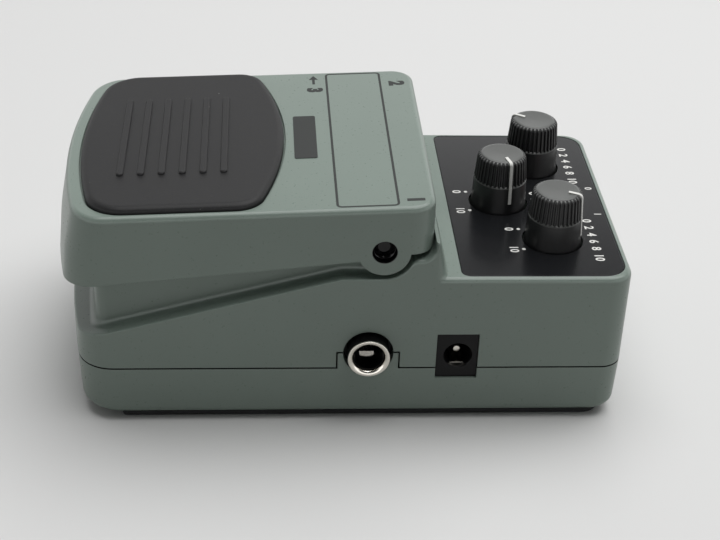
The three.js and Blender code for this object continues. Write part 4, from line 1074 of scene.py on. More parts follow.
def finishes() -> dict[str, bpy.types.Material]:
    """Makes every finish of the pedal.

    Returns:
        The materials by name.
    """
    # the second colour is the painted sheen on the level tops of the knobs
    green, painted_sheen = rgb(121, 134, 126), rgb(88, 90, 88)
    made = [
        # the housing paint is painted black inside the parting gap at 14 mm as painted shade
        Moulding("housing_paint", green, 0.30, 0.05, 1.5, 0.008, 0.055, 0.2, seam=14.0),
        # the treadle paint is painted black inside its hinge hole as painted shade
        Moulding("treadle_paint", green, 0.30, 0.05, 1.5, 0.008, 0.045, 0.35, bore=(*HINGE, 2.66)),
        Moulding("panel_satin", rgb(24, 25, 27), 0.20, 0.10, 2.6, 0.005, 0.03, 0.15),
        Moulding("knob_satin", rgb(31, 31, 32), 0.34, 0.12, 2.0, 0.012, 0.03, 0.12, painted_sheen=painted_sheen),
        Moulding("socket_black", rgb(10, 10, 11), 0.40, 0.12, 2.2, 0.008, 0.03, 0.12, shine=0.2),
        Moulding("pin_black", rgb(7, 7, 9), 0.12, 0.10, 2.2, 0.003, 0.03, 0.06, shine=0.3),
        Moulding("chip_black", rgb(34, 34, 36), 0.55, 0.12, 3.0, 0.02, 0.03, 0.08),
        Moulding("can_sleeve", rgb(36, 52, 94), 0.3, 0.08, 1.5, 0.01, 0.03, 0.1),
        Moulding("battery_jacket", rgb(72, 75, 80), 0.32, 0.08, 1.2, 0.01, 0.03, 0.2, 0.4),
        Rubber("tread_rubber", rgb(25, 25, 26), 0.50),
        Rubber("base_rubber", rgb(30, 31, 32), 0.75, 1.6, 0.04),
        Plating("nickel", (0.68, 0.65, 0.59), 0.2, (1, 0.2, 0.2)),
        Plating("screw_steel", (0.52, 0.53, 0.54), 0.34, (0.3, 0.3, 1), 3.5),
        Plating("spring_steel", (0.55, 0.56, 0.58), 0.28, (1, 1, 0.3), 4.0),
        Ink("dark_ink", rgb(27, 31, 29), 0.6),
        Ink("white_ink", rgb(226, 226, 222)),
        Lens("red_lens", rgb(190, 30, 28), rgb(70, 8, 8)),
        BoardMask("board_mask", rgb(28, 84, 54)),
        Cable("grey_ribbon", rgb(140, 144, 148), rgb(90, 94, 98)),
        Cable("red_vinyl", rgb(160, 34, 32), rgb(120, 22, 22), 0.9),
        Cable("black_vinyl", rgb(26, 26, 27), rgb(44, 44, 46), 0.9),
        Foam("grey_foam", rgb(84, 86, 88)),
    ]
    return {finish.name: finish.material() for finish in made}


# ---------------------------------------------------------------- the pedal


@dataclass
class Maker:
    """What every sub-assembly shares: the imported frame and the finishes."""

    frame: dict
    finish: dict[str, bpy.types.Material]
    pattern: Pattern

    def show(
        self,
        form: Solid,
        name: str,
        finish: str,
        body: str,
        slot: str,
        *nodes: str,
        crease: float = 32,
    ) -> bpy.types.Object:
        """Turns a solid into a piece and hands it to the frame.

        Args:
            form: the solid.
            name: the piece's name.
            finish: the finish's name.
            body: the body that it rides on.
            slot: not used.
            nodes: the nodes that it stands for.
            crease: edges sharper than this many degrees stay sharp.

        Returns:
            The piece.
        """
        made = form.piece(name, self.finish[finish], crease)
        if nodes:
            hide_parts(*nodes)
        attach(made, body)
        LOG.info("%s: %d faces on %s", made.name, len(made.data.polygons), body)
        return made

    def dress(self, finish: str, *nodes: str) -> None:
        """Gives nodes of the frame a finish, and leaves their shape alone.

        Args:
            finish: the finish's name.
            nodes: the nodes.
        """
        for node in nodes:
            data = self.frame["nodes"][node].data
            data.materials.clear()
            data.materials.append(self.finish[finish])
            LOG.info("%s: dressed in %s", node, finish)

    def text(self, words: str, centre: Point, height: float, tilt: float, weight: float) -> Solid:
        """Makes raised print of plain numbers.

        Args:
            words: the numbers.
            centre: the middle of the print, in millimetres.
            height: the height of a digit.
            tilt: how far the face that carries it slopes up to the rear, in degrees.
            weight: how much thicker its strokes are drawn, as a share of the height.

        Returns:
            The print as a solid.
        """
        digit_share = 0.70
        curve = bpy.data.curves.new("print", "FONT")
        curve.body = words
        curve.size = height / digit_share
        curve.align_x = "CENTER"
        curve.align_y = "CENTER"
        curve.offset = height * weight
        curve.extrude = 0.012
        curve.resolution_u = 3
        shown = linked("print", curve)
        mesh = evaluated(shown)
        bpy.data.objects.remove(shown)
        turn = Matrix.Rotation(math.radians(tilt), 4, "X")
        mesh.transform(Matrix.Translation(Vector(centre)) @ turn)
        return Solid(mesh)


@dataclass
class Housing:
    """The two halves of the housing with its rubber mat and its screws."""

    maker: Maker
    half_width: float = 33.8
    front: float = -60.5
    rear: float = 61.5
    wall: float = 2.4
    roof: float = 2.25
    parting: float = 14.0
    parting_gap: float = 0.34
    console: float = 36.75
    edge: float = 1.2
    ledge_edge: float = 0.32
    hollow_edge: float = 0.9
    crest_edge: float = 0.5
    knees: tuple[float, ...] = (-1.2, 10.5, 19.2)
    slope: float = 15.2
    block_half: float = 30.3
    block_front: float = -55.5
    block_top: float = 41.5
    block_rear: float = 12.7
    block_corner: float = 3
    block_sweep: float = 8.0
    block_wall: float = 2.3
    saddle_top: float = 48.2
    saddle_room: Flat = (18.6, 37.2)
    well_half: float = 28.0
    well: Flat = (-25.3, 2.2)
    well_floor: float = 26.0
    well_wall: float = 1.8
    lead_slot: tuple[Point, Point] = ((20.6, -14, 22), (28.0, -8, 27))
    socket_hole: float = 5.45
    tongue_half: float = 6.6
    sockets: tuple[tuple[int, float], ...] = ((1, 5.05), (-1, 5.05), (-1, -14.5))
    power_low: Point = (29.4, 19.88, 11.19)
    power_high: Point = (35.8, 29.08, 22.7)
    trough: Flat = (15.5, 44.2)
    trough_radius: float = 2.9
    ear_room: float = 6.65
    screws: tuple[Flat, ...] = ((-27.3, -44.0), (27.3, -44.0), (-27.3, 55.2), (27.3, 55.2))
    post_radius: float = 3.5
    mat_hole: float = 3.5
    over: float = 2.0

    def plan(self) -> SweptOutline:
        """Returns the plan of the housing, with points on its sides where its edges change."""
        return SweptOutline(self.half_width, self.front, 8, 11, self.rear, 5, 0, self.knees)

    def raised(self, inset: float, corner: float, rear: float) -> SweptOutline:
        """Returns the plan of the raised block or of the room in it.

        Args:
            inset: how far inside the block's sides and front it lies.
            corner: the radius of its front corners.
            rear: where it ends.

        Returns:
            The plan.
        """
        half, front = self.block_half - inset, self.block_front + inset
        return SweptOutline(half, front, corner, self.block_sweep, rear, 0.01, 0, self.knees[:1])

    def top(self, y: float) -> float:
        """Returns how high the shell stands at a place along it, without block and lip."""
        fall = (self.knees[0] - y) * math.tan(math.radians(self.slope))
        return min(self.console, self.console - fall)

    def rim(self, turn: float) -> list[Point]:
        """Returns a ring of the rounded top edge, crisp at the ledge, softer at the console."""
        inside, under = rounding(turn)
        crisp_ring = self.plan().points(self.ledge_edge * inside)
        soft_ring = self.plan().points(self.edge * inside)
        ring = []
        for crisp, soft in zip(crisp_ring, soft_ring):
            at_console = crisp[1] >= self.knees[-1]
            (x, y), radius = (soft, self.edge) if at_console else (crisp, self.ledge_edge)
            ring.append((x, y, self.top(y) - radius * under))
        return ring

    def build(self) -> None:
        """Makes the shells, the mat and the screws."""
        show = self.maker.show
        paint = ("housing_paint", "housing", "housing_green")
        show(self.upper(), "upper_housing", *paint, "upper_shell")
        show(self.lower(), "lower_housing", *paint, "lower_shell")
        show(self.mat(), "rubber_mat", "base_rubber", "housing", "base_rubber", "base_mat")
        corners = [f"{end}_{side}" for end in ("front", "rear") for side in ("left", "right")]
        nodes = [f"housing_screw_{corner}" for corner in corners]
        show(self.screw_set(), "housing_screws", "screw_steel", "housing", "steel", *nodes)

    def upper(self) -> Solid:
        """Returns the upper shell: console, ledges, block, lip and everything cut into them."""
        rings = [lifted(self.plan().points(), self.parting + self.parting_gap / 2)]
        rings += [self.rim(turn) for turn in QUARTER]
        form = Solid.loft(rings, self.plan().fold())
        form = form.add(self.fillet(), self.lip(), *self.blocks())
        return form.cut(*self.hollows()).add(*self.posts()).cut(*self.holes()).merged()

    def fillet(self, radius: float = 1.5) -> Solid:
        """Returns the hollow curve between the ledge and the block, as a collar round it."""
        plan = self.raised(0, self.block_corner, self.block_rear)
        rings = [[(x, y, self.top(y) - 1) for x, y in plan.points(-radius)]]
        for turn in QUARTER:
            rise, grown = rounding(turn)
            outline = plan.points(-radius * grown)
            rings.append([(x, y, self.top(y) + radius * rise) for x, y in outline])
        return Solid.loft(rings, plan.fold())

    def blocks(self) -> list[Solid]:
        """Returns the raised block and the higher part that holds the hinge pins."""
        plan = self.raised(0, self.block_corner, self.block_rear).points()
        low = Solid.drawn(plan, Axis.Z, self.parting + self.wall, self.block_top)
        start = (-self.block_half, self.well[1], self.block_top - self.over)
        return [low, Solid.block(start, (self.block_half, self.block_rear, self.saddle_top))]

    def lip(self, corner: float = 2.5) -> Solid:
        """Returns the cheeks beside the hinge ears and the lip behind the treadle.

        Args:
            corner: how round its rear corners are at their foot.

        Returns:
            The lip across the pedal.
        """
        ends = []
        for radius in (corner, self.hollow_edge, self.ledge_edge):
            ends += [self.half_width - radius * rounding(turn)[1] for turn in QUARTER[:-1]]
        right = [*sorted(ends), self.half_width]
        across = [-x for x in right[::-1]] + right
        sides, rooms = [], []
        for x in across:
            side = self.lip_side(self.worn(x, corner), self.worn(x, self.crest_edge))
            sides.append([(x, y, z) for y, z in side])
        for x in (across[0] - 1, *across, across[-1] + 1):
            near = max(across[0], min(across[-1], x))
            worn = [self.worn(near, radius) for radius in (self.hollow_edge, self.ledge_edge)]
            rooms.append([(x, y, z) for y, z in self.lip_hollow(*worn)])
        return Solid.loft(sides).cut(Solid.loft(rooms))

    def worn(self, x: float, radius: float) -> float:
        """Returns how much a rounding of that radius takes off at a distance from the middle."""
        reach = max(0.0, abs(x) - (self.half_width - radius))
        return radius - math.sqrt(max(0.0, radius**2 - reach**2))

    def lip_side(self, behind: float, above: float) -> list[Flat]:
        """Returns the lip's side view without its hollow.

        Args:
            behind: how far the foot of its rear face is taken in.
            above: how far its crest is taken in.

        Returns:
            The points in Y and Z.
        """
        foot, crest, low = 37.4, 45.6, self.parting + self.wall
        rear = [(21.8, 36.4), (21.5, 36.72), (21.25, 36.95), (21.05, 37.35), (20.95, 38.0)]
        rear += [(20.5, 40.2), (19.9, 42.65), (19.5, 44.4), (19.3, 45.35), (19.1, crest - 0.03)]
        points = [(HINGE[0], low), (21.0 - behind, low)]
        for y, z in rear:
            share = min(1.0, max(0.0, (crest - z) / (crest - foot)))
            points.append((y - behind * (0.12 + 0.88 * share), z - above * (1 - share)))
        return [*points, (HINGE[0], crest - above)]

    def lip_hollow(self, trough: float, ear: float) -> list[Flat]:
        """Returns the side view of the hollow under the treadle's rear and round its ear.

        Args:
            trough: how far the trough is opened.
            ear: how far the part round the ear is opened.

        Returns:
            The points in Y and Z.
        """
        y, z = HINGE
        over, steps = 60.0, 5
        wide, hollow = self.trough_radius + trough, self.ear_room + ear
        floor = self.trough[1] - wide
        across = math.sqrt(hollow**2 - (floor - z) ** 2)
        start = math.degrees(math.atan2(floor - z, across))
        round_ear = arc(HINGE, hollow, start - 13, -90, 14)
        bend = (y + across, floor)
        points = [(self.trough[0] + wide, over), *arc(self.trough, wide, 0, -90, 14)]
        for t in (step / steps for step in range(steps)):
            shares = ((1 - t) ** 2, 2 * t * (1 - t), t * t)
            ends = zip((bend[0] + 1.2, floor), bend, round_ear[0])
            points.append(tuple(a * shares[0] + b * shares[1] + c * shares[2] for a, b, c in ends))
        return [*points, *round_ear, (y - 1, z - hollow), (y - 1, over)]

    def hollows(self) -> list[Solid]:
        """Returns the rooms inside the upper shell."""
        inner, under = self.plan().points(self.wall), self.well_floor - self.well_wall
        high = [(x, y, min(under, self.top(y) - self.roof)) for x, y in inner]
        main_room = Solid.loft([lifted(inner, self.parting - self.over), high], self.plan().fold())
        inside = self.block_half - self.block_wall
        front = self.raised(self.block_wall, 0.7, self.well[0] - self.well_wall)
        outline = replace(front, knees=()).points()
        deck = Solid.drawn(outline, Axis.Z, self.parting, self.block_top - 2.5)
        start = (-inside, self.well[1] + self.well_wall, self.parting)
        saddle = Solid.block(start, (inside, *self.saddle_room))
        console = Solid.drawn(inner, Axis.Z, self.parting, self.console - self.roof)
        console = console.keep(Solid.block((-40, self.saddle_room[0], 0), (40, 70, 60)))
        start = (-self.well_half, self.well[0], self.well_floor)
        battery = Solid.block(start, (self.well_half, self.well[1], 60))
        return [main_room, console, deck, saddle, battery]

    def posts(self) -> list[Solid]:
        """Returns the screw posts, the spring's seat and the stakes inside the upper shell."""
        made = [Solid.post(28.5, self.block_top - 1.5, (0, SPRING_Y), 7.5)]
        for x, y in self.screws:
            high = self.top(y) - self.roof / 2
            made.append(Solid.post(self.parting + 0.1, high, (x, y), self.post_radius, 24))
        for side in (-1, 1):
            made.append(Solid.post(27.65, 35.5, (side * 20, 30.5), 3, 24))
            made.append(Solid.post(31.65, 40, (side * 12, SWITCH_Y), 2.2, 24))
        return made

    def holes(self) -> list[Solid]:
        """Returns everything that is cut through the upper shell."""
        panel = rounded_plan(32.6, (24.4, 2.1), (60.3, 5.1))
        made = [
            Solid.drawn(panel, Axis.Z, self.console - 0.85, self.console + self.over),
            *[Solid.post(32, self.console, spot, KNOB_HOLE) for spot in KNOBS],
            Solid.post(32, self.console, LIGHT, LIGHT_HOLE, 32),
            Solid.post(30, 44, (0, SPRING_Y), 6),
            Solid.post(37, 44, (0, SWITCH_Y), 3.25, 32),
        ]
        for side, y in self.sockets:
            made += [self.socket_cut(side, y), self.tongue(side, y, self.parting_gap)]
        made.append(Solid.block(self.power_low, self.power_high))
        made += [Solid.post(12, 21, spot, 1.62, 24) for spot in self.screws]
        for side in (-1, 1):
            near, far = sorted((side * 16, side * 28.6))
            made.append(Solid.block((near, 3.9, 39.7), (far, 11.3, 50)))
            near, far = sorted((side * 27, side * 36))
            made.append(Solid.rod(Axis.X, near, far, HINGE, PIN_HOLE, 32))
        made.append(Solid.post(40.2, 50, (0, HINGE[0]), 1.3, 24))
        made.append(Solid.block(*self.lead_slot))
        return made

    def socket_cut(self, side: int, y: float) -> Solid:
        """Returns the round hole for a socket in one side wall."""
        near, far = sorted((side * 29, side * 36))
        return Solid.rod(Axis.X, near, far, (y, SOCKET_HEIGHT), self.socket_hole)

    def tongue(self, side: int, y: float, gap: float, lowest: float = 11) -> Solid:
        """Returns the step in the parting line at a socket.

        Args:
            side: 1 on the right and -1 on the left.
            y: where the socket is.
            gap: how much it is grown, for the cut that takes it.
            lowest: where it starts.

        Returns:
            The step.
        """
        beyond = self.over if gap else 0
        inner = self.half_width - self.wall - beyond / 2
        near, far = sorted((side * inner, side * (self.half_width + beyond)))
        half = self.tongue_half + gap
        return Solid.block((near, y - half, lowest), (far, y + half, SOCKET_HEIGHT + gap))

    def tray_ring(self, turn: float) -> list[Point]:
        """Returns a ring of the rounding under the tray, drawn in further at the two ends."""
        rise, draw = rounding(turn)
        half, middle = (self.rear - self.front) / 2, (self.rear + self.front) / 2
        squeeze = (0.4 + 2.8 * draw) / half
        outline = self.plan().points(3 * draw)
        return [(x, y - (y - middle) * squeeze, 1.3 + 3 * rise) for x, y in outline]

    def lower(self) -> Solid:
        """Returns the tray that closes the housing from below."""
        rings = [self.tray_ring(turn) for turn in QUARTER]
        rings.append(lifted(self.plan().points(), self.parting - self.parting_gap / 2))
        room = Solid.drawn(self.plan().points(self.wall), Axis.Z, 3.6, 20)
        under = Solid.block((-60, -60, 0), (60, 60, SOCKET_HEIGHT - 0.1))
        steps = [self.tongue(side, y, 0).keep(under) for side, y in self.sockets]
        cuts = [self.socket_cut(side, y) for side, y in self.sockets]
        cuts.append(Solid.block(self.power_low, self.power_high))
        for spot in self.screws:
            steps.append(Solid.post(3, self.parting - 0.1, spot, self.post_radius, 24))
            cuts += [Solid.post(0, 16, spot, 1.8, 24), Solid.post(0, 5, spot, 3.2, 32)]
        for spot in ((-20, -18), (-20, 38), (20, -18), (20, 38)):
            steps.append(Solid.post(3, 9.55, spot, 3, 24))
            cuts.append(Solid.post(3.6, 10.6, spot, 1, 16))
        return Solid.loft(rings).cut(room).add(*steps).cut(*cuts).merged()

    def mat(self) -> Solid:
        """Returns the rubber mat with a hole at each screw."""
        rings = []
        for inset, z in ((0.4, 0.0), (0.1, 0.12), (0.0, 0.4), (0.0, 1.25)):
            front, rear = (-48.7 + inset, 1 - inset), (58.3 - inset, 4.2 - inset)
            rings.append(lifted(rounded_plan(31.9 - inset, front, rear), z))
        holes = [Solid.post(-2, 3, spot, self.mat_hole, 32) for spot in self.screws]
        return Solid.loft(rings).cut(*holes)

    def screw_set(self) -> Solid:
        """Returns the four screws, repeated along both directions."""
        profile = [(1.9, 2.8), (2.6, 2.9), (2.9, 3.3), (2.9, 4.95)]
        head = Solid.turned(profile, Axis.Z, (0, 0), 32)
        shank = Solid.post(4, 20, (0, 0), 1.5, 24)
        slots = [Solid.block((-a, -b, 1), (a, b, 3.8)) for a, b in ((1.9, 0.35), (0.35, 1.9))]
        screw = head.add(shank).cut(*slots)
        repeat, steel = self.maker.pattern.repeat, self.maker.finish["screw_steel"]
        (left, near), (right, far) = self.screws[0], self.screws[3]
        row = repeat(screw, steel, count=2, start=(left, 0, 0), step=(right - left, 0, 0))
        return repeat(row, steel, count=2, start=(0, near, 0), step=(0, far - near, 0))


@dataclass
class ControlPanel:
    """The black panel on the console with its prints and the light."""

    maker: Maker
    top: float = 36.70
    bottom: float = 35.95
    soft: float = 0.2
    mark_aside: float = 4.3
    carrier: tuple[str, str] = ("housing", "panel_black")

    def build(self) -> None:
        """Makes the panel, its prints and the light."""
        top, soft = self.top, self.soft
        rings = []
        for grown, z in ((0.0, self.bottom), (0.0, top - soft), (-0.06, top - 0.06), (-soft, top)):
            front, rear = (24.5 - grown, 2 + grown), (60.2 + grown, 5 + grown)
            rings.append(lifted(rounded_plan(32.5 + grown, front, rear), z))
        holes = [Solid.post(35, 38, spot, KNOB_HOLE) for spot in KNOBS]
        holes.append(Solid.post(35, 38, LIGHT, LIGHT_HOLE, 32))
        panel = Solid.loft(rings).cut(*holes)
        self.maker.show(panel, "control_plate", "panel_satin", *self.carrier, "control_panel")
        self.prints()
        self.lamp()

    def prints(self) -> None:
        """Makes the numbers and dots round the knobs and the light."""
        aside, scale = self.mark_aside, "0  2  4  6  8  10"
        words = [(scale, 17.3, 55.2, 2.0), (scale, -17.3, 55.2, 2.0), ("0  5  10", 0, 44.9, 1.9)]
        for x, y in KNOBS:
            words += [("0", x - aside, y - 9.2, 1.9), ("10", x + aside, y - 9.2, 1.9)]
        words += [("0", -6, 58.3, 1.6), ("1", 6, 58.3, 1.6)]
        text, show, repeat = self.maker.text, self.maker.show, self.maker.pattern.repeat
        made = [text(word, (x, y, self.top), size, 0, 0.03) for word, x, y, size in words]
        show(Solid.gather(*made), "panel_numbers", "white_ink", *self.carrier)
        dot = Solid.post(self.top - 0.02, self.top + 0.015, (0, 0), 0.42, 20)
        white, step, rows = self.maker.finish["white_ink"], (2 * aside, 0, 0), []
        for x, y in KNOBS:
            rows.append(repeat(dot, white, count=2, start=(x - aside, y - 7, 0), step=step))
        show(Solid.gather(*rows), "panel_dots", "white_ink", *self.carrier)

    def lamp(self) -> None:
        """Makes the light."""
        x, y = LIGHT
        dome = arc((0, 37.35), 1.5, 0, 81, 9)
        profile = [(1.84, 32.85), (1.84, 33.5), (1.5, 33.55), *dome, (0.05, 38.85)]
        legs = [Solid.post(27.65, 33.5, (x + side * 0.9, y), 0.35, 12) for side in (-1, 1)]
        lens = Solid.turned(profile, Axis.Z, LIGHT, 32).add(*legs)
        self.maker.show(lens, "status_light", "red_lens", "housing", "led_red", "status_led")


@dataclass
class Knob:
    """One ribbed knob with its white pointer."""

    maker: Maker
    name: str
    centre: Flat
    angle: float
    bottom: float = 35.6
    shoulder: float = 43.3
    top: float = 49.2
    skirt_radius: float = 6.3
    rib_radius: float = 5.95
    top_radius: float = 5.5
    rib_depth: float = 0.45
    rib_half: float = 0.30
    ribs: int = 36
    pointer_half: float = 0.36

    def build(self) -> None:
        """Makes the body, its ribs and the pointer."""
        root, high = self.rib_radius - self.rib_depth, self.top_radius - self.rib_depth
        profile = [
            (self.skirt_radius - 0.25, self.bottom),
            (self.skirt_radius, self.bottom + 0.25),
            (self.rib_radius + 0.05, self.shoulder - 0.42),
            (self.rib_radius - 0.02, self.shoulder - 0.3),
            (root, self.shoulder),
            (high, self.top - 0.75),
            (high - 0.12, self.top - 0.4),
            (high - 0.4, self.top - 0.1),
            (high - 0.75, self.top),
            (high - 1.3, self.top - 0.12),
            (0.05, self.top - 0.2),
        ]
        bore = Solid.post(30, 46.5, self.centre, 3.05, 32)
        body = Solid.turned(profile, Axis.Z, self.centre, 72).cut(bore)
        ribs = self.maker.pattern.repeat(
            self.rib(root, high),
            self.maker.finish["knob_satin"],
            count=self.ribs,
            start=(*self.centre, 0),
            turn=math.tau / self.ribs,
            first_turn=math.radians(self.angle) + math.pi / self.ribs,
        )
        show, name, carrier = self.maker.show, self.name, (f"{self.name}_control", "knob_black")
        dial = Solid.gather(body, ribs)
        show(dial, f"{name}_dial", "knob_satin", *carrier, f"{name}_knob", crease=40)
        show(self.pointer(), f"{name}_pointer", "white_ink", *carrier)
        self.maker.dress("spring_steel", f"{name}_shaft")

    def rib(self, root: float, high: float) -> Solid:
        """Returns one rib, pointing along X from the knob's axis.

        Args:
            root: the radius it stands on at its foot.
            high: the radius it stands on at its top.

        Returns:
            The rib.
        """
        depth, wide = self.rib_depth, self.rib_half
        half = ((-0.15, wide), (depth * 0.72, wide * 0.72), (depth * 0.97, wide * 0.4))
        section = [(out, -aside) for out, aside in half] + [(depth, 0), *half[::-1]]
        levels = (
            (root, self.shoulder - 0.02, 1.0),
            (high, self.top - 0.85, 1.0),
            (high - 0.1, self.top - 0.5, 0.8),
            (high - 0.3, self.top - 0.22, 0.3),
        )
        rings = []
        for radius, z, share in levels:
            grown = [(radius + out * (share if out > 0 else 1), aside) for out, aside in section]
            rings.append(lifted(grown, z))
        return Solid.loft(rings)

    def pointer(self) -> Solid:
        """Returns the white line over the top and down the side of the knob."""
        line = [(2.4, 48.95), (4.9, 48.95), (5.2, 48.4), (5.6, 43.2), (5.9, 39.2), (6.3, 39.2)]
        line += [(6.05, 43.0), (5.62, 48.6), (5.4, 49.0), (5.1, 49.2), (4.7, 49.3), (2.4, 49.3)]
        bar = Solid.drawn(line, Axis.Y, -self.pointer_half, self.pointer_half)
        turn = Matrix.Rotation(math.radians(self.angle), 4, "Z")
        bar.mesh.transform(Matrix.Translation((*self.centre, 0)) @ turn)
        return bar


@dataclass
class Treadle:
    """The hinged treadle with its rubber pad, its prints and its switch foot."""

    maker: Maker
    half_width: float = 33.8
    front: float = -63.1
    rear: float = 18.2
    rear_radius: float = 5.2
    height: float = 53.4
    tilt: float = 2.47
    edge: float = 1.3
    plate: float = 2.5
    skirt: float = 2.7
    ear: float = 5.55
    corner: Flat = (17.2, 43.9)
    lean_span: float = 12.0
    pad_half: float = 32.0
    pad_thickness: float = 1.3
    pad_groove: float = 0.35
    pad_sink: float = 0.6
    grips: int = 6
    grip_pitch: float = 4.4
    line_width: float = 0.52

    def __post_init__(self) -> None:
        """Works out the outlines of the foot, the waist, the rim and the pad."""

        def plan(radius: float, sweep: float) -> SweptOutline:
            """Returns the treadle's plan with a corner radius and a sweep of its front."""
            ends = (self.front, radius, sweep, self.rear, self.rear_radius)
            return SweptOutline(self.half_width, *ends, 0, (), 16, 14)

        self.foot = (plan(8, 10.8), 0.0)
        self.waist = (plan(8.5, 12), 1.2)
        self.rim = (plan(9.8, 14.5), 2.6)
        self.pad_plan = SweptOutline(self.pad_half, -57.35, 8.5, 12.5, -13, 6, 18.6, (), 14, 16)

    def level(self, y: float) -> float:
        """Returns the height of the sloping top at a place along the pedal."""
        return self.height + y * math.tan(math.radians(self.tilt))

    def laid(self, outline: Sequence[Flat], rise: float) -> list[Point]:
        """Returns a flat outline as a ring at a height over the sloping top."""
        return [(x, y, self.level(y) + rise) for x, y in outline]

    def build(self) -> None:
        """Makes the treadle, the pad, the prints and the foot."""
        show, rubber = self.maker.show, ("tread_rubber", "treadle", "pad_rubber")
        show(self.shell(), "treadle_shell", "treadle_paint", "treadle", "housing_green", "treadle")
        show(self.pad(), "rubber_pad", *rubber, "tread_pad", crease=50)
        show(self.grip_bars(), "pad_grips", *rubber, crease=50)
        self.prints()
        self.maker.dress("base_rubber", "switch_actuator")

    def ring(self, inset: float, depth: float, level: tuple[SweptOutline, float]) -> list[Point]:
        """Returns the outline at a depth under the sloping top.

        Args:
            inset: how far inside the outline.
            depth: how far under the top.
            level: the plan there and how far its front leans back.

        Returns:
            The points.
        """
        plan, draft = level
        points = []
        for x, y in plan.points(inset):
            share = max(0.0, (self.front + self.lean_span - y) / self.lean_span)
            points.append((x, y + draft * share, self.level(y) - depth))
        return points

    def shell(self) -> Solid:
        """Returns the treadle's hollow body."""
        rings = [self.ring(0, 21.48, self.foot), self.ring(0, 9, self.waist)]
        for turn in QUARTER:
            inset, drop = rounding(turn)
            rings.append(self.ring(self.edge * inset, self.edge * drop, self.rim))
        low = self.ring(self.skirt, 23.5, self.foot)
        hollow = Solid.loft([low, self.ring(self.skirt, self.plate, self.rim)])
        body = Solid.loft(rings).keep(self.side()).cut(hollow)
        corners = ((SPRING_Y, -3.9), (-1.2, -3.9), (-1.2, -1.5), (SPRING_Y, -1.5))
        line = [(y, self.level(y) + off) for y, off in corners]
        ribs = [Solid.drawn(line, Axis.X, x - 0.8, x + 0.8) for x in (-15, 15)]
        stub, foot = self.hung(SPRING_Y, 5.5, 1.5, 3.7), self.hung(SWITCH_Y, 4.9, 1.5, 5.85)
        body = body.add(stub, foot, *ribs)
        bore = Solid.rod(Axis.X, -40, 40, HINGE, PIN_HOLE, 40)
        return body.cut(self.hung(SWITCH_Y, 6, 2.5, 4.25), bore, self.recess())

    def hung(self, y: float, low: float, high: float, radius: float) -> Solid:
        """Returns an upright bar on the middle line, between two depths under the top."""
        return Solid.post(self.level(y) - low, self.level(y) - high, (0, y), radius, 40)

    def side(self) -> Solid:
        """Returns everything above the treadle's lower edge, seen from the side."""
        rise, beyond = math.tan(math.radians(6.4)), self.front - 2
        points = [(beyond, 33.92 - 2 * rise), *arc(HINGE, self.ear, 204, 355, 40)]
        points += arc(self.corner, 1.0, 270, 360, 12)
        points += [(19.5, self.corner[1]), (19.5, 58), (beyond, 58)]
        return Solid.drawn(points, Axis.X, -36, 36)

    def recess(self) -> Solid:
        """Returns the shallow hollow that the pad lies in, a little wider than the pad."""
        outline = self.pad_plan.points(-self.pad_groove)
        return self.flat_print(outline, 2, self.pad_sink)

    def pad(self) -> Solid:
        """Returns the pad with its crowned edge."""
        levels = [(0.0, -self.pad_sink + 0.05), (0.0, 0.30), (0.10, 0.62), (0.35, 0.90)]
        levels += [(0.8, 1.14), (1.6, self.pad_thickness)]
        rings = [self.laid(self.pad_plan.points(inset), rise) for inset, rise in levels]
        return Solid.loft(rings)

    def grip_bars(self) -> Solid:
        """Returns the raised bars across the pad."""
        half, deep, rise, pitch = 18.0, 0.75, 0.5, self.grip_pitch
        slope = math.tan(math.radians(self.tilt))
        rings = []
        for inset, z in ((0.0, -0.1), (0.0, rise * 0.5), (0.08, rise * 0.8), (0.28, rise)):
            low, high = (-half + inset, -deep + inset), (half - inset, deep - inset)
            outline = rounded_box(low, high, deep - inset - 0.02, 5)
            rings.append([(x, y, z + y * slope) for x, y in outline])
        first = -37 - (self.grips - 1) / 2 * pitch
        return self.maker.pattern.repeat(
            Solid.loft(rings),
            self.maker.finish["tread_rubber"],
            count=self.grips,
            start=(0, first, self.level(first) + self.pad_thickness),
            step=(0, pitch, self.level(pitch) - self.level(0)),
        )

    def flat_print(self, outline: Sequence[Flat], rise: float = 0.02, sink: float = 0.05) -> Solid:
        """Returns an outline as a sheet along the sloping top.

        Args:
            outline: its outline in plan.
            rise: how far it stands over the top.
            sink: how far it reaches under the top.

        Returns:
            The sheet.
        """
        return Solid.loft([self.laid(outline, -sink), self.laid(outline, rise)])

    def prints(self) -> None:
        """Makes the frame line, the plain badge, the socket numbers and the arrow."""
        show, wide = self.maker.show, self.line_width
        inner = ((-32.3 + wide, -2.7 + wide), (32.3 - wide, 10.45 - wide))
        frame = self.flat_print(rounded_box((-32.3, -2.7), (32.3, 10.45), 1.2))
        frame = frame.cut(self.flat_print(rounded_box(*inner, 1.2 - wide), 1, 1))
        numbers = []
        for word, x, y in (("1", 30.0, 13.7), ("2", -26, 13.9), ("3", -23.6, -5.5)):
            numbers.append(self.maker.text(word, (x, y, self.level(y)), 3.2, self.tilt, 0.10))
        arrow = [(-31.3, -5.5), (-29.3, -4.4), (-29.3, -5.2), (-26.8, -5.2)]
        arrow += [(-26.8, -5.8), (-29.3, -5.8), (-29.3, -6.6)]
        made = Solid.gather(frame, self.flat_print(arrow), *numbers)
        show(made, "treadle_prints", "dark_ink", "treadle", "housing_green")
        badge = self.flat_print(rounded_box((-9.9, -10.8), (10.3, -5.8), 0.5), 0.12)
        show(badge, "plain_badge", "dark_ink", "treadle", "panel_black")


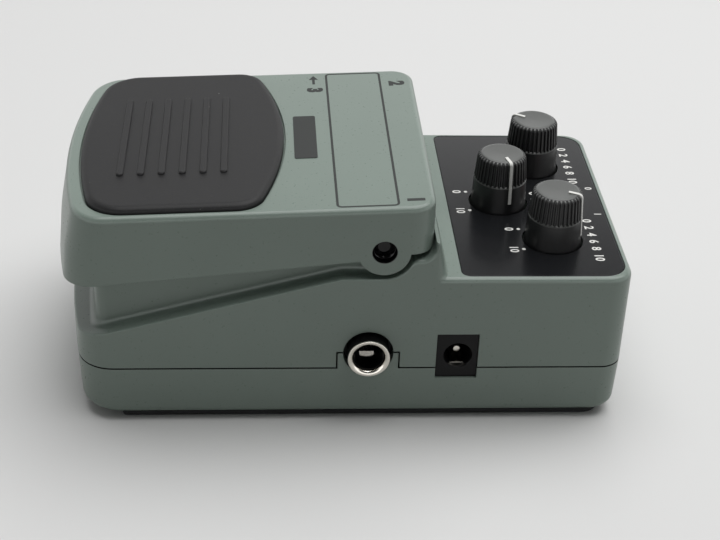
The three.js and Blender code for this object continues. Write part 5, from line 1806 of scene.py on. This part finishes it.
@dataclass
class Coil:
    """A coil spring in the housing."""

    maker: Maker
    name: str
    node: str
    joint: str
    keep: float
    axis: Axis
    centre: Flat
    start: float
    end: float
    radius: float
    wire: float
    turns: int

    def build(self) -> None:
        """Makes the spring."""
        looks = ("spring_steel", "housing", "steel")
        made = self.maker.show(self.form(), self.name, *looks, self.node, crease=60)
        along = {Axis.X: (1, 0, 0), Axis.Z: (0, 0, 1)}[self.axis]
        anchor = tuple(c * MM for c in place(self.axis, self.centre, self.start))
        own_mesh(made)
        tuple(along)

    def form(self) -> Solid:
        """Returns the wound wire with closed ends."""
        steps, sides = 28, 10
        total = self.turns * steps
        low, high = sorted((self.start, self.end))
        rings = []
        for i in range(total + 1):
            along = low + self.wire + (high - low - 2 * self.wire) * (i / total)
            turn, ring = math.tau * i / steps, []
            for angle in full_turn(sides):
                reach = self.radius + self.wire * math.cos(angle)
                place_along = along + self.wire * math.sin(angle)
                ring.append(spin(self.axis, self.centre, reach, turn, place_along))
            rings.append(ring)
        return Solid.loft(rings)


@dataclass
class HingePin:
    """One dished black hinge pin."""

    maker: Maker
    side: int
    name: str

    def build(self) -> None:
        """Makes the pin."""
        profile = [(1.5, 19.6), (1.6, 19.8), (1.6, 26.2), (3.4, 26.2), (3.4, 28.3), (2.5, 28.3)]
        profile += [(2.5, 32.28), (2.42, 32.44), (2.3, 32.5), (2.15, 32.4), (1.7, 31.6)]
        profile += [(1.3, 31.2), (0.05, 31.1)]
        turned = [(radius, self.side * along) for radius, along in profile]
        pin, node = Solid.turned(turned, Axis.X, HINGE, 48), f"hinge_pin_{self.name}"
        self.maker.show(pin, f"pin_{self.name}", "pin_black", node, "black_plastic", node)


@dataclass
class AudioSocket:
    """One audio socket: nickel ferrule, body and the contact in its bore."""

    maker: Maker
    name: str
    side: int
    y: float
    bore: float = 3.28
    outer: float = 4.575
    back: float = 31.0
    face: float = 36.2
    skin: float = 0.06

    def build(self) -> None:
        """Makes the ferrule with its black collar and dresses the rest."""
        outer, face = self.outer, self.face
        inside, under = self.bore + self.skin, outer - self.skin
        ring = self.turned(
            (inside, self.back),
            (under, self.back),
            (under, face - 0.32),
            (outer, face - 0.3),
            (outer, face - 0.16),
            (outer - 0.05, face - 0.05),
            (outer - 0.16, face),
            (4.2, face),
            (4.02, face - 0.03),
            (3.82, face - 0.12),
            (3.62, face - 0.28),
            (3.46, face - 0.5),
            (3.37, face - 0.75),
            (inside, face - 1.0),
        )
        show, dress, name = self.maker.show, self.maker.dress, self.name
        show(ring, f"{name}_ring", "nickel", "housing", "nickel", f"{name}_ferrule", crease=40)
        lining = self.tube(self.bore, inside, face - 1.1)
        collar = Solid.gather(self.tube(under, outer, face - 0.33), lining)
        show(collar, f"{name}_collar", "socket_black", "housing", "black_plastic")
        dress("socket_black", f"{name}_body")
        dress("nickel", f"{name}_contact")

    def tube(self, inner: float, outer: float, near: float) -> Solid:
        """Returns a thin tube from just behind the ferrule to a place near its face."""
        start = self.back - 0.05
        return self.turned((inner, start), (outer, start), (outer, near), (inner, near))

    def turned(self, *profile: Flat) -> Solid:
        """Returns a ring about the socket's axis from radii and places along the axis."""
        placed = [(radius, self.side * along) for radius, along in profile]
        return Solid.ring(placed, Axis.X, (self.y, SOCKET_HEIGHT), 72)


@dataclass
class PowerSocket:
    """The power socket: black body, centre pin and contact leaf."""

    maker: Maker
    y: float = 24.68
    height: float = 16.85
    face: float = 33.3
    slot_half: float = 1.6

    def build(self) -> None:
        """Makes the body and the pin and dresses the leaf."""
        show, face, centre = self.maker.show, self.face, (self.y, self.height)
        steps = [(3.05, face - 9.5), (3.05, face - 0.2), (3.2, face + 0.01), (3.2, face + 1)]
        bore = Solid.turned(steps, Axis.X, centre, 64)
        low, high = self.y - self.slot_half, self.y + self.slot_half
        slot = Solid.block((face - 9.5, low, 13.95), (face - 0.9, high, self.height))
        body = Solid.block((face - 14, 19.98, 11.29), (face, 28.98, 22.6)).cut(bore, slot)
        show(body, "power_body", "socket_black", "housing", "black_plastic", "dc_jack_body")
        steps = [(1, face - 9.45), (1, face - 3.2), (0.92, face - 3.0), (0.72, face - 2.6)]
        pin = Solid.turned([*steps, (0.3, face - 2.5)], Axis.X, centre, 32)
        show(pin, "power_pin", "nickel", "housing", "nickel", "dc_jack_pin")
        self.maker.dress("nickel", "dc_jack_contact")


@dataclass
class Internals:
    """The parts inside, which keep the shapes of the frame."""

    maker: Maker
    finishes: Mapping[str, tuple[str, ...]] = field(
        default_factory=lambda: {
            "board_mask": ("main_board", "control_board", "footswitch_board"),
            "chip_black": ("delay_chip", "converter_chip"),
            "can_sleeve": ("filter_capacitor_left", "filter_capacitor_right"),
            "battery_jacket": ("battery",),
            "grey_foam": ("battery_foam",),
            "socket_black": ("footswitch_body", "hinge_keeper"),
            "black_vinyl": ("battery_snap", "battery_lead_black"),
            "red_vinyl": ("battery_lead_red",),
            "grey_ribbon": ("board_ribbon", "footswitch_lead"),
            "nickel": ("footswitch_button",),
            "spring_steel": ("rate_pot_body", "level_pot_body", "intensity_pot_body"),
            "screw_steel": (
                "board_screw_front",
                "board_screw_rear",
                "control_board_screw_left",
                "control_board_screw_right",
                "hinge_keeper_screw",
            ),
        }
    )

    def build(self) -> None:
        """Dresses every part inside."""
        for finish, nodes in self.finishes.items():
            self.maker.dress(finish, *nodes)


@dataclass
class Studio:
    """The pale floor, the soft light and the camera of the photograph."""

    eye: Point = (0.31030, -0.01944, 0.21228)
    ahead: Point = (-0.84567, 0.06713, -0.52947)
    aside: Point = (0.05734, 0.99774, 0.03492)
    lens: float = 78.1
    sensor: float = 36
    ambient: Flat = (0.36, 0.11)
    mirrored: Point = (0.05, 1.15, 0.60)
    floor: Point = (0.62, 0.62, 0.61)
    seen_floor: Point = (0.70, 0.70, 0.695)
    floor_half: float = 3.0

    def build(self) -> None:
        """Makes the floor, the light and the camera."""
        self.camera()
        self.ground()
        self.light("over", (-0.17, 0.16, 0.90), (0, 0, 0.03), 1.0, 9.9)
        world = bpy.data.worlds.new("studio")
        bpy.context.scene.world = world
        world.use_nodes = True
        sky = Nodes(world.node_tree)
        glossy = Value(sky, sky.node("ShaderNodeLightPath").outputs["Is Glossy Ray"])
        generated = sky.node("ShaderNodeTexCoord").outputs["Generated"]
        towards = sky.node("ShaderNodeSeparateXYZ", {}, {0: generated})
        across, up = (Value(sky, towards.outputs[name]) for name in "XZ")
        dark, low, near = self.mirrored
        beside = across.step(0.0, 0.35) * (1 - up.step(0.3, 0.65))
        seen = (1 - up.step(0.41, 0.53)) * (low - dark) + beside * (near - dark) + dark
        shade = world.node_tree.nodes["Background"]
        shade.inputs["Color"].default_value = (1, 1, 1, 1)
        around = across.step(-0.3, 0.5) * (self.ambient[1] - self.ambient[0]) + self.ambient[0]
        strength = glossy * (seen - around) + around
        world.node_tree.links.new(strength.socket, shade.inputs["Strength"])
        bpy.context.scene.view_settings.view_transform = "Standard"

    def camera(self) -> None:
        """Sets the camera where the photograph was taken from."""
        data = bpy.data.cameras.new("camera")
        data.lens = self.lens
        data.sensor_width = self.sensor
        data.clip_start = 0.01
        ahead, aside = Vector(self.ahead), Vector(self.aside)
        up = aside.cross(ahead)
        turn = Matrix((aside, up, -ahead)).transposed().to_4x4()
        made = linked("camera", data)
        made.matrix_world = Matrix.Translation(self.eye) @ turn
        bpy.context.scene.camera = made

    def ground(self) -> None:
        """Makes the floor as a broad sheet."""
        half = self.floor_half
        corners = [(-half, -half, 0), (half, -half, 0), (half, half, 0), (-half, half, 0)]
        mesh = bpy.data.meshes.new("floor")
        mesh.from_pydata(corners, [], [(0, 1, 2, 3)])
        floor = linked("floor", mesh)
        shade = Shade("floor_paper")
        where = shade.place()
        cloud = shade.noise(where, 0.004, 2)
        grain = shade.noise(where, 1.5, 3)
        colour = shade.mix(cloud, scaled(self.floor, 0.98), self.floor)
        seen = shade.node("ShaderNodeLightPath").outputs["Is Camera Ray"]
        colour = shade.mix(seen, colour, self.seen_floor)
        rough, normal = grain * 0.1 + 0.75, shade.bump(grain, 0.01)
        mesh.materials.append(shade.surface(Base_Color=colour, Roughness=rough, Normal=normal))

    def light(self, name: str, spot: Point, aim: Point, size: float, power: float) -> None:
        """Adds a square soft light.

        Args:
            name: its name.
            spot: where it hangs, in metres.
            aim: what it points at.
            size: the length of its side.
            power: its power in watts.
        """
        data = bpy.data.lights.new(name, "AREA")
        data.shape = "SQUARE"
        data.size = size
        data.energy = power
        made = linked(name, data)
        made.location = spot
        made.rotation_euler = (Vector(aim) - Vector(spot)).to_track_quat("-Z", "Y").to_euler()


def main() -> None:
    """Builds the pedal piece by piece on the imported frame."""
    logging.basicConfig(level=logging.INFO, format="%(message)s")
    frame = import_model()
    maker = Maker(frame, finishes(), Pattern())
    sides = {"right": 1, "left": -1}
    names = ("return_spring", "treadle_spring", "treadle_hinge")
    place_on = (Axis.Z, (0, SPRING_Y), 30.05, 48.55)
    coils = [Coil(maker, *names, 0.77, *place_on, radius=4.6, wire=0.45, turns=7)]
    for name, side in sides.items():
        place_on = (Axis.X, HINGE, side * 16.3, side * 26.0)
        names = (f"pin_spring_{name}", f"hinge_spring_{name}", f"hinge_pin_{name}_slide")
        coils.append(Coil(maker, *names, 0.67, *place_on, radius=2.35, wire=0.35, turns=5))
    parts = [
        Housing(maker),
        ControlPanel(maker),
        Knob(maker, "rate", KNOBS[0], angle=238),
        Knob(maker, "level", KNOBS[1], angle=15),
        Knob(maker, "intensity", KNOBS[2], angle=64),
        Treadle(maker),
        *coils,
        *[HingePin(maker, side, name) for name, side in sides.items()],
        AudioSocket(maker, "in_jack", side=1, y=5.05),
        AudioSocket(maker, "out_jack", side=-1, y=5.05),
        AudioSocket(maker, "direct_jack", side=-1, y=-14.5),
        PowerSocket(maker),
        Internals(maker),
        Studio(),
    ]
    for part in parts:
        LOG.info("building %s", type(part).__name__)
        part.build()
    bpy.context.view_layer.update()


if __name__ == "__main__":
    main()
